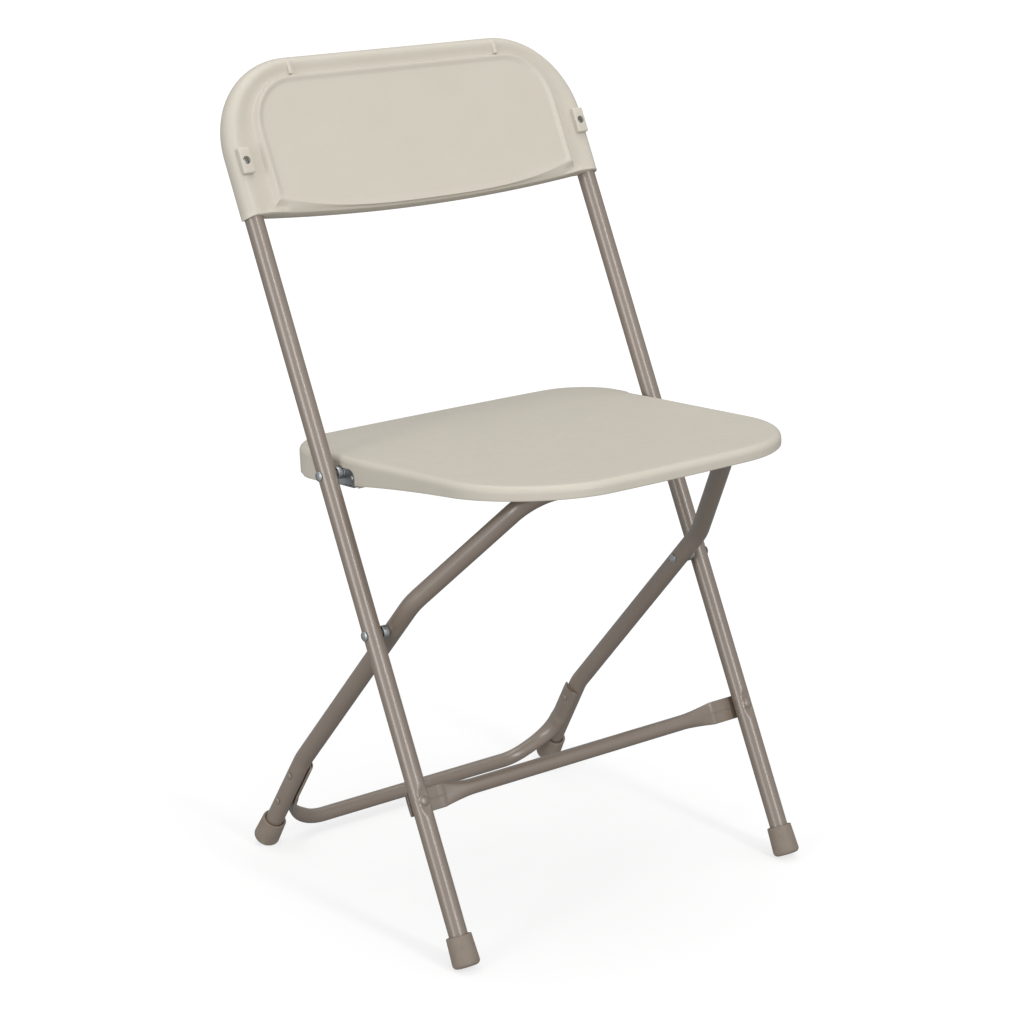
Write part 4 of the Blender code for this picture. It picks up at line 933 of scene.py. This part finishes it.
def backrest_mesh():
    mesh = skin(rear_rings() + front_rings()[1:])
    steps = []
    half_x, half_z = BOSS_SIZE[0] / 2, BOSS_SIZE[1] / 2
    sleeve_from = BACK_SLEEVE_END - SLEEVE_BELOW
    for side in SIDES.values():
        x = side * FRAME_HALF
        low = (x - half_x, -BOSS_RISE, BACK_SCREW_AT - half_z)
        high = (x + half_x, -TUBE_R / 2, BACK_SCREW_AT + half_z)
        steps.append(("UNION", bevelled_box(low, high, BOSS_BEVEL), Matrix()))
        x = side * RIB_AT
        z = BACK_TOP - VALLEY_TOP_INSET - MM
        low = (x - RIB_SIZE[0] / 2, -BAND_RISE - MM, z)
        high = (x + RIB_SIZE[0] / 2, -TUBE_R / 2, z + RIB_SIZE[1])
        steps.append(("UNION", bevelled_box(low, high, RIB_BEVEL, 3), Matrix()))
    for side in SIDES.values():
        x = side * FRAME_HALF
        steps.append(("DIFFERENCE", rod(TUBE_R + GAP, SLEEVE_LENGTH, 64), at(x, 0, sleeve_from)))
        seat = at(x, -BAND_RISE, BACK_SCREW_AT) @ FORWARD
        recess = rod(SCREW_RECESS_R, 20 * MM, 48)
        steps.append(("DIFFERENCE", recess, seat))
    return carved(mesh, steps)


def make_backrest():
    add_piece("back_panel", backrest_mesh(), "plastic", "front_frame", FRONT, "backrest_shell")
    add_pair(
        "{}_back_screw",
        "backrest_screw_{}",
        lambda side: screw_mesh(),
        "zinc",
        "front_frame",
        lambda side: on_upright(side, -BAND_RISE - 0.05 * MM, BACK_SCREW_AT) @ FORWARD,
    )


# Rear frame


def upper_leg_x(above):
    return REAR_HALF - math.tan(UPPER_INWARD) * max(0.0, above - UPPER_BEND_AT)


def lower_leg_x(below):
    return REAR_HALF + FOOT_SPLAY * below / LOWER_LENGTH


def rear_legs_mesh():
    """One tube from foot to foot over the top bar, with a ring pressed round each spreader rivet."""
    turn = Matrix.Rotation(-LOWER_BEND, 3, "X")
    legs = []
    for side in (-1, 1):
        bend = Vector((side * REAR_HALF, 0, -BEND_AT))
        reach = LOWER_LENGTH - foot_raise(FOOT_LEAN) - CAP_FLOOR - GAP
        foot = bend + turn @ Vector((side * FOOT_SPLAY * reach / LOWER_LENGTH, 0, -reach))
        knee = Vector((side * REAR_HALF, 0, UPPER_BEND_AT))
        corner = Vector((side * upper_leg_x(REAR_REACH), 0, REAR_REACH))
        legs.append([foot, bend, knee, corner])
    radii = [LEG_BEND_R, LEG_BEND_R, TOP_BAR_BEND_R, TOP_BAR_BEND_R, LEG_BEND_R, LEG_BEND_R]
    route = rounded_path(legs[0] + legs[1][::-1], radii)
    points = [route[0]]
    for before, after in zip(route, route[1:]):
        low = max(before.z, after.z) < -BEND_AT
        count = max(1, round((after - before).length / (1.0 * MM if low else 30 * MM)))
        points += [before.lerp(after, i / count) for i in range(1, count + 1)]
    mesh = pipe(points, TUBE_R)
    to_lower = LOWER.inverted() @ REAR
    back = to_lower.inverted()
    for vert in mesh.vertices:
        spot = to_lower @ vert.co
        side = math.copysign(1, spot.x)
        below = -spot.z
        if below < 0 or side * spot.x < lower_leg_x(below):
            continue
        for rivet in SPREADER_RIVETS_AT:
            away = math.hypot(spot.y, below - rivet)
            groove = LEG_GROOVE * hump(away - LEG_GROOVE_R, PRESSED_RING_WIDTH)
            proud = side * spot.x - lower_leg_x(below) - TUBE_R + LEG_FLAT
            flat = max(0.0, proud) if away < LEG_FLAT_R else 0.0
            spot.x -= side * (groove + flat)
        vert.co = back @ spot
    return mesh


def make_rear_legs():
    add_piece("rear_legs", rear_legs_mesh(), "frame_paint", "rear_frame", REAR, "rear_leg_frame")


def saddle_section(below, share, radius, taper=1.0):
    """(out, across) points of a section, out from the bar's centre line towards the leg.

    It is round at share 0, and at share 1 pressed into a cup round the leg.
    """
    shrink = BAR_R - radius
    cup = TUBE_R + GAP + FLAT_THICKNESS / 2
    points = []
    for i in range(TUBE_SIDES):
        angle = 2 * math.pi * (i + 0.5) / TUBE_SIDES
        depth = math.copysign(abs(math.cos(angle)) ** SADDLE_POWER, math.cos(angle))
        reach = cup - (FLAT_THICKNESS / 2 - shrink) * depth
        fan = (SADDLE_ANGLE * taper - shrink / cup) * math.sin(angle)
        if depth < 0 and shrink == 0:
            for rivet in SPREADER_RIVETS_AT:
                away = math.hypot(cup * fan, below - rivet)
                reach -= SADDLE_BULGE * math.exp(-((away / SADDLE_BULGE_R) ** 4))
        cupped = (TUBE_R + GAP + BAR_R - reach * math.cos(fan), reach * math.sin(fan))
        out = radius * math.cos(angle) * (1 - share) + cupped[0] * share
        across = radius * math.sin(angle) * (1 - share) + cupped[1] * share
        points.append((out, across))
    return points


def spreader_half(side, radius):
    """Rings from the saddle's tip, down beside the leg and round the bend to the straight bar."""
    rings = []
    bend_start = SPREADER_AT - SPREADER_BEND_R
    stops = [SPREADER_TOP + SADDLE_CORNER * (1 - math.cos(math.pi / 2 * i / 7)) for i in range(8)]
    stops += spaced(stops[-1], bend_start, 1.2 * MM)[1:]
    for below in stops:
        ease = smooth_step(below, bend_start - SADDLE_EASE, bend_start)
        share = 1 - (1 - SADDLE_END_SHARE) * ease
        run = min(1.0, (below - SPREADER_TOP) / SADDLE_CORNER)
        taper = 1 - SADDLE_TIP_SHARE * (1 - math.sqrt(1 - (1 - run) ** 2))
        centre = lower_leg_x(below) - TUBE_R - GAP - BAR_R
        section = saddle_section(below, share, radius, taper)
        rings.append([Vector((side * (centre + out), across, -below)) for out, across in section])
    centre_x = lower_leg_x(bend_start) - TUBE_R - GAP - BAR_R - SPREADER_BEND_R
    steps = 36
    for i in range(1, steps + 1):
        angle = math.pi / 2 * i / steps
        share = SADDLE_END_SHARE * (1 - smooth_step(i / steps, 0, 0.62))
        centre = Vector((side * (centre_x + SPREADER_BEND_R * math.cos(angle)), 0, 0))
        centre.z = -bend_start - SPREADER_BEND_R * math.sin(angle)
        outward = Vector((side * math.cos(angle), 0, -math.sin(angle)))
        section = saddle_section(bend_start + SPREADER_BEND_R * angle, share, radius)
        rings.append([centre + outward * out + Vector((0, across, 0)) for out, across in section])
    return rings


def make_spreader():
    rings = []
    for radius in (BAR_R, BAR_R - TUBE_WALL):
        run = spreader_half(-1, radius) + spreader_half(1, radius)[::-1]
        rings += run if radius == BAR_R else run[::-1]
    mesh = skin(rings, wrap=True)
    add_piece("rear_cross_spreader", mesh, "frame_paint", "rear_frame", LOWER, "rear_spreader")
    for side_name, side in SIDES.items():
        for number, below in enumerate(SPREADER_RIVETS_AT, start=1):
            leg = lower_leg_x(below)
            inner = leg - TUBE_R - FLAT_THICKNESS - GAP + SADDLE_BULGE
            outer = leg + TUBE_R - LEG_FLAT
            place = LOWER @ at(side * inner, 0, -below) @ facing(side)
            grip = outer - inner
            mesh = rivet_mesh(grip, SPREADER_RIVET_HEAD_R, SPREADER_RIVET_HEAD, SPREADER_RIVET_R)
            node = f"spreader_rivet_{side_name}_{number}"
            name = f"{side_name}_spreader_rivet_{number}"
            add_piece(name, mesh, "frame_paint", "rear_frame", place, node)


def make_glides():
    ring = (TUBE_R + GAP, TUBE_R + GAP + GLIDE_WALL, GLIDE_WIDTH, 0.8 * MM, 56)
    start = GUIDE_AT - GLIDE_WIDTH / 2
    add_pair(
        "{}_top_bar_glide",
        "bar_glide_{}",
        lambda side: ring_mesh(*ring),
        "guide_plastic",
        "rear_frame",
        lambda side: REAR @ at(side * start, 0, REAR_REACH) @ facing(side),
    )


# Seat


def side_half(y):
    start = -SEAT_FRONT + SEAT_FRONT_R
    share = (y - start) / (SEAT_STRAIGHT_END - start)
    return SEAT_FRONT_HALF + (SEAT_SIDE_HALF - SEAT_FRONT_HALF) * share


def bow_at(x, y):
    """The front edge curves forward in the middle, and the rear edge backward by half as much."""
    middle = max(0.0, 1 - (x / SEAT_FRONT_HALF) ** 2)
    ahead = max(0.0, -y / SEAT_FRONT)
    behind = max(0.0, y / SEAT_REAR)
    return SEAT_BOW * middle * (ahead ** 4 - 0.5 * behind ** 4)


def seat_outline(inset):
    """(x, y) points round the seat, front to rear on the right and back on the left."""
    front, rear = -SEAT_FRONT + inset, SEAT_REAR - inset
    front_r, rear_r = SEAT_FRONT_R - inset, SEAT_REAR_R - inset
    front_half, rear_half = SEAT_FRONT_HALF - inset, SEAT_REAR_HALF - inset
    half = [((front_half - front_r) * i / 14, front) for i in range(14)]
    half += arc((front_half - front_r, front + front_r), front_r, -90, 0, 26)
    start = front + front_r
    for i in range(1, 21):
        y = start + (SEAT_STRAIGHT_END - start) * i / 20
        half.append((side_half(y) - inset, y))
    flare_from, flare_to = BRACKET_REAR + 2 * MM, BRACKET_REAR + 10 * MM
    for y in spaced(SEAT_STRAIGHT_END, flare_to, 3 * MM)[1:]:
        grow = (SEAT_REAR_HALF - SEAT_SIDE_HALF) * smooth_step(y, flare_from - 6 * MM, flare_to)
        half.append((SEAT_SIDE_HALF + grow - inset, y))
    half += arc((rear_half - rear_r, rear - rear_r), rear_r, 0, 90, 26)
    half += [((rear_half - rear_r) * (1 - i / 14), rear) for i in range(1, 15)]
    bowed = [(x, y - bow_at(x, y)) for x, y in half]
    return bowed + [(-x, y) for x, y in reversed(bowed[1:-1])]


def skirt_depth(y):
    """The skirt deepens from the front edge back to the pivot."""
    share = min(max((y + SEAT_FRONT) / SEAT_FRONT, 0.0), 1.0)
    return SKIRT_FRONT + (SKIRT_REAR - SKIRT_FRONT) * share ** 2


def seat_ring(inset, drop, share=1.0):
    ring = []
    middle = (SEAT_REAR - SEAT_FRONT) / 2
    for x, y in seat_outline(inset):
        fall = drop(y) if callable(drop) else drop
        ring.append(Vector((x * share, middle + (y - middle) * share, SEAT_TOP - fall)))
    return ring


def bracket_outline(grow, drop=0.0):
    """(y, z) outline of the bracket's dish: round at its front, square at its rear."""
    y0, y1 = -BRACKET_FRONT - grow, BRACKET_REAR + grow
    z0, z1 = BRACKET_BOTTOM - grow - drop, BRACKET_TOP + grow
    small, big = BRACKET_CORNER + grow, BRACKET_FRONT_CORNER + grow
    points = arc((y0 + small, z0 + small), small, 180, 270, 8)
    points += arc((y1 - small, z0 + small), small, 270, 360, 8)
    points += arc((y1 - small, z1 - small), small, 0, 90, 8)
    points += arc((y0 + big, z1 - big), big, 90, 180, 12)
    return points


def seat_mesh():
    """A shallow tray with a rounded edge, a skirt and rooms for its brackets and the folded legs."""
    edge, wall, lip = SEAT_EDGE_R, SEAT_WALL, SEAT_LIP
    rings = [seat_ring(edge * 2.2, 0.0, share) for share in (0.4, 0.8)]
    rings.append(seat_ring(edge * 1.6, 0.0))
    for i in range(11):
        angle = math.pi / 2 * i / 10
        rings.append(seat_ring(edge * (1 - math.sin(angle)), edge * (1 - math.cos(angle))))
    for share in (0.3, 0.6, 0.85):
        rings.append(seat_ring(0.0, lambda y, s=share: edge + (skirt_depth(y) - lip - edge) * s))
    for i in range(5):
        angle = math.pi / 2 * i / 4
        inset = lip * (1 - math.cos(angle))
        rings.append(seat_ring(inset, lambda y, a=angle: skirt_depth(y) - lip * (1 - math.sin(a))))
    rings += [seat_ring(wall, skirt_depth), seat_ring(wall + MM, edge + MM)]
    for i in range(1, 5):
        angle = math.pi / 2 * i / 4
        fall = wall + (edge + MM - wall) * (1 - math.sin(angle))
        rings.append(seat_ring(wall + MM + (edge - wall) * (1 - math.cos(angle)), fall))
    rings.append(seat_ring(edge * 2.2, wall, 0.4))
    mesh = skin(rings)
    steps = []
    for side in SIDES.values():
        inner = BRACKET_INNER - GAP
        one = side * (inner - BLOCK_THICKNESS)
        other = side * (SEAT_SIDE_HALF - BLOCK_SIDE_INSET)
        low = (min(one, other), -BRACKET_FRONT - BLOCK_MARGIN, BRACKET_BOTTOM - GAP)
        high = (max(one, other), BRACKET_REAR + BLOCK_MARGIN, SEAT_TOP - BLOCK_TOP_INSET)
        steps.append(("UNION", bevelled_box(low, high, 0.5 * MM, 2), Matrix()))
    for side in SIDES.values():
        inner = BRACKET_INNER - GAP
        reach = SEAT_REAR_HALF + 4 * MM
        outline = bracket_outline(BRACKET_ROOM, SKIRT_REAR)
        notch = skin([[Vector((side * x, y, z)) for y, z in outline] for x in (inner, reach)])
        steps.append(("DIFFERENCE", notch, Matrix()))
        recess = rod(PIVOT_ROOM_R, PIVOT_ROOM_LENGTH, 48)
        start = at(side * (inner - BLOCK_THICKNESS - MM), 0, 0)
        steps.append(("DIFFERENCE", recess, start @ facing(side)))
        leg = side * upper_leg_x(SEAT_PIVOT_AT - SEAT_REAR - CROSS_PIVOT_AT)
        low = (leg - LEG_NOTCH_HALF, SEAT_REAR - LEG_NOTCH_FORWARD, SEAT_TOP - 2 * SKIRT_REAR)
        top = SEAT_TOP - SKIRT_REAR + 2 * MM
        high = (leg + LEG_NOTCH_HALF, SEAT_REAR + LEG_NOTCH_BACK, top)
        steps.append(("DIFFERENCE", bevelled_box(low, high, 1.5 * MM, 3), Matrix()))
    return carved(mesh, steps)


def bracket_mesh(side):
    """A pressed dish with a turned rim, and a boss that carries the washer."""
    rings = []
    for depth, grow in (
        (0.0, -1.2 * MM),
        (0.3 * MM, -0.4 * MM),
        (1.0 * MM, 0.0),
        (BRACKET_DEPTH - 0.5 * MM, 0.0),
        (BRACKET_DEPTH - 0.15 * MM, -0.15 * MM),
        (BRACKET_DEPTH, -0.5 * MM),
        (BRACKET_DEPTH, -1.0 * MM),
        (BRACKET_DEPTH - 0.15 * MM, -1.35 * MM),
        (BRACKET_DEPTH - 0.5 * MM, -BRACKET_RIM),
        (BRACKET_DISH_AT + 0.5 * MM, -BRACKET_RIM - 0.1 * MM),
        (BRACKET_DISH_AT + 0.15 * MM, -BRACKET_RIM - 0.4 * MM),
        (BRACKET_DISH_AT, -BRACKET_RIM - 0.8 * MM),
    ):
        x = side * (BRACKET_INNER + depth)
        rings.append([Vector((x, y, z)) for y, z in bracket_outline(grow)])
    top = BRACKET_DEPTH - 0.2 * MM
    boss = [(0, 0.6 * MM), (WASHER_R, 0.6 * MM)]
    boss += arc((WASHER_R - 0.8 * MM, top - 0.8 * MM), 0.8 * MM, 0, 90, 5) + [(0, top)]
    place = at(side * BRACKET_INNER, 0, 0) @ facing(side)
    return carved(skin(rings), [("UNION", turned(boss, 56), place)])


def small_rivet_mesh():
    profile = [(0, -6 * MM), (SMALL_RIVET_R, -6 * MM), (SMALL_RIVET_R, BRACKET_DISH_AT)]
    return turned(profile + dome(SMALL_RIVET_HEAD_R, SMALL_RIVET_HEAD, BRACKET_DISH_AT, 5), 32)


def make_seat():
    add_piece("seat_tray", seat_mesh(), "plastic", "seat", SEAT, "seat_shell")


def make_brackets():
    spots = {
        "front": BRACKET_RIVET_INSET - BRACKET_FRONT,
        "rear": BRACKET_REAR - BRACKET_RIVET_INSET,
    }
    for side_name, side in SIDES.items():
        node = f"seat_bracket_{side_name}"
        add_piece(f"{side_name}_seat_bracket", bracket_mesh(side), "zinc", "seat", SEAT, node)
        for spot, y in spots.items():
            place = SEAT @ at(side * BRACKET_INNER, y, BRACKET_RIVET_Z) @ facing(side)
            node = f"seat_bracket_rivet_{side_name}_{spot}"
            name = f"{side_name}_{spot}_bracket_rivet"
            add_piece(name, small_rivet_mesh(), "zinc", "seat", place, node)


def guide_mesh():
    """A rail under the seat, with a stop that hangs down in front of the top bar."""
    front = GUIDE_SET_BACK - SEAT_FRONT
    roof = SEAT_TOP - SEAT_WALL - GAP
    sole = roof - GUIDE_RAIL
    stop = TOP_BAR_IN_SEAT.y - TUBE_R - GLIDE_WALL - 2 * GAP
    bottom = TOP_BAR_IN_SEAT.z - GUIDE_STOP_DROP
    outline = [(-GUIDE_REAR, roof), (front, roof), (front, roof - GUIDE_NOSE)]
    outline.append((stop - GUIDE_STOP, bottom + GUIDE_STOP_EDGE))
    outline += arc((stop - GUIDE_STOP / 2, bottom + GUIDE_STOP / 2), GUIDE_STOP / 2, 200, 340, 8)
    outline += [(stop, bottom + GUIDE_STOP_EDGE + MM), (stop, sole + GUIDE_ROUND)]
    outline += arc((stop + GUIDE_ROUND, sole + GUIDE_ROUND), GUIDE_ROUND, 180, 270, 4)[1:]
    outline += [(-GUIDE_REAR, sole)]
    low, high = -GUIDE_WIDTH / 2, GUIDE_WIDTH / 2
    mesh = skin([[Vector((x, y, z)) for y, z in outline] for x in (low, high)])
    shape = bmesh.new()
    shape.from_mesh(mesh)
    rims = [e for e in shape.edges if abs(e.verts[0].co.x - e.verts[1].co.x) < 1e-6]
    bmesh.ops.bevel(shape, geom=rims, offset=GUIDE_BEVEL, segments=3, profile=0.5, affect="EDGES")
    return mesh_of(shape)


def make_guides():
    add_pair(
        "{}_seat_guide",
        "seat_guide_{}",
        lambda side: guide_mesh(),
        "guide_plastic",
        "seat",
        lambda side: SEAT @ at(side * GUIDE_AT, 0, 0),
    )


# Studio

CAMERA_FROM_FEET = Vector((-1.661, -1.8938, 1.178))
CAMERA_YAW = math.radians(38.411)
CAMERA_PITCH = math.radians(16.696)
CAMERA_ROLL = math.radians(-0.088)
CAMERA_LENS = 95.24


def make_camera():
    camera = bpy.data.cameras.new("camera")
    camera.lens = CAMERA_LENS
    camera.sensor_width = 36.0
    camera.clip_end = 200.0
    holder = linked("camera", camera)
    yaw = Matrix.Rotation(-CAMERA_YAW, 4, "Z")
    pitch = Matrix.Rotation(math.pi / 2 - CAMERA_PITCH, 4, "X")
    roll = Matrix.Rotation(CAMERA_ROLL, 4, "Z")
    holder.matrix_world = at(*(FRONT.translation + CAMERA_FROM_FEET)) @ yaw @ pitch @ roll
    bpy.context.scene.camera = holder


FLOOR_HALF = 60.0
FLOOR_NEAR = 0.70  # the floor's own glow under the chair, and far off
FLOOR_FAR = 0.86
GLOW_FROM = 0.3
GLOW_TO = 3.5


def make_floor():
    half = FLOOR_HALF
    corners = [(-half, -half, 0), (half, -half, 0), (half, half, 0), (-half, half, 0)]
    mesh = bpy.data.meshes.new("floor")
    mesh.from_pydata(corners, [], [(0, 1, 2, 3)])
    material = bpy.data.materials.new("pale_floor")
    material.use_nodes = True
    tree = material.node_tree
    shader = tree.nodes["Principled BSDF"]
    shader.inputs["Base Color"].default_value = (0.32, 0.32, 0.32, 1)
    shader.inputs["Roughness"].default_value = 0.9
    shader.inputs["Specular IOR Level"].default_value = 0.0
    shader.inputs["Emission Color"].default_value = (1, 1, 1, 1)
    place = tree.nodes.new("ShaderNodeTexCoord").outputs["Object"]
    away = tree.nodes.new("ShaderNodeVectorMath")
    away.operation = "LENGTH"
    tree.links.new(place, away.inputs[0])
    glow = spread(tree, away.outputs["Value"], FLOOR_NEAR, FLOOR_FAR, GLOW_FROM, GLOW_TO)
    tree.links.new(glow, shader.inputs["Emission Strength"])
    mesh.materials.append(material)
    floor = linked("floor", mesh)
    floor.visible_diffuse = False
    floor.visible_glossy = False


def add_softbox(name, direction, distance, size, power, target=Vector((0, 0, 0.45))):
    light = bpy.data.lights.new(name, "AREA")
    light.shape = "RECTANGLE"
    light.size, light.size_y = size
    light.energy = power
    holder = linked(name, light)
    holder.location = target + Vector(direction).normalized() * distance
    holder.rotation_euler = (target - holder.location).to_track_quat("-Z", "Y").to_euler()


SKY_TOWARD = Vector((-0.50, -0.50, 0.70))  # where the studio is brightest
SKY_DIM = 0.17
SKY_BRIGHT = 0.80


def make_light():
    world = bpy.data.worlds.new("studio")
    world.use_nodes = True
    tree = world.node_tree
    sky = tree.nodes["Background"]
    sky.inputs["Color"].default_value = (1, 1, 1, 1)
    direction = tree.nodes.new("ShaderNodeTexCoord").outputs["Generated"]
    toward = tree.nodes.new("ShaderNodeVectorMath")
    toward.operation = "DOT_PRODUCT"
    tree.links.new(direction, toward.inputs[0])
    toward.inputs[1].default_value = SKY_TOWARD
    glow = spread(tree, toward.outputs["Value"], SKY_DIM, SKY_BRIGHT, -1.0, 1.0)
    tree.links.new(glow, sky.inputs["Strength"])
    bpy.context.scene.world = world
    add_softbox("front_strip", (0.04, -1.0, 0.55), 5.0, (0.62, 3.6), 84)
    add_softbox("left_strip", (-1.0, -0.16, 0.22), 5.0, (0.55, 3.4), 66)
    add_softbox("overhead", (0.1, 0.1, 1.0), 3.0, (2.6, 2.6), 34)
    bpy.context.scene.view_settings.view_transform = "Standard"


make_uprights()
make_front_brace()
make_caps()
make_pivots()
make_backrest()
make_rear_legs()
make_spreader()
make_glides()
make_seat()
make_brackets()
make_guides()
make_camera()
make_floor()
make_light()
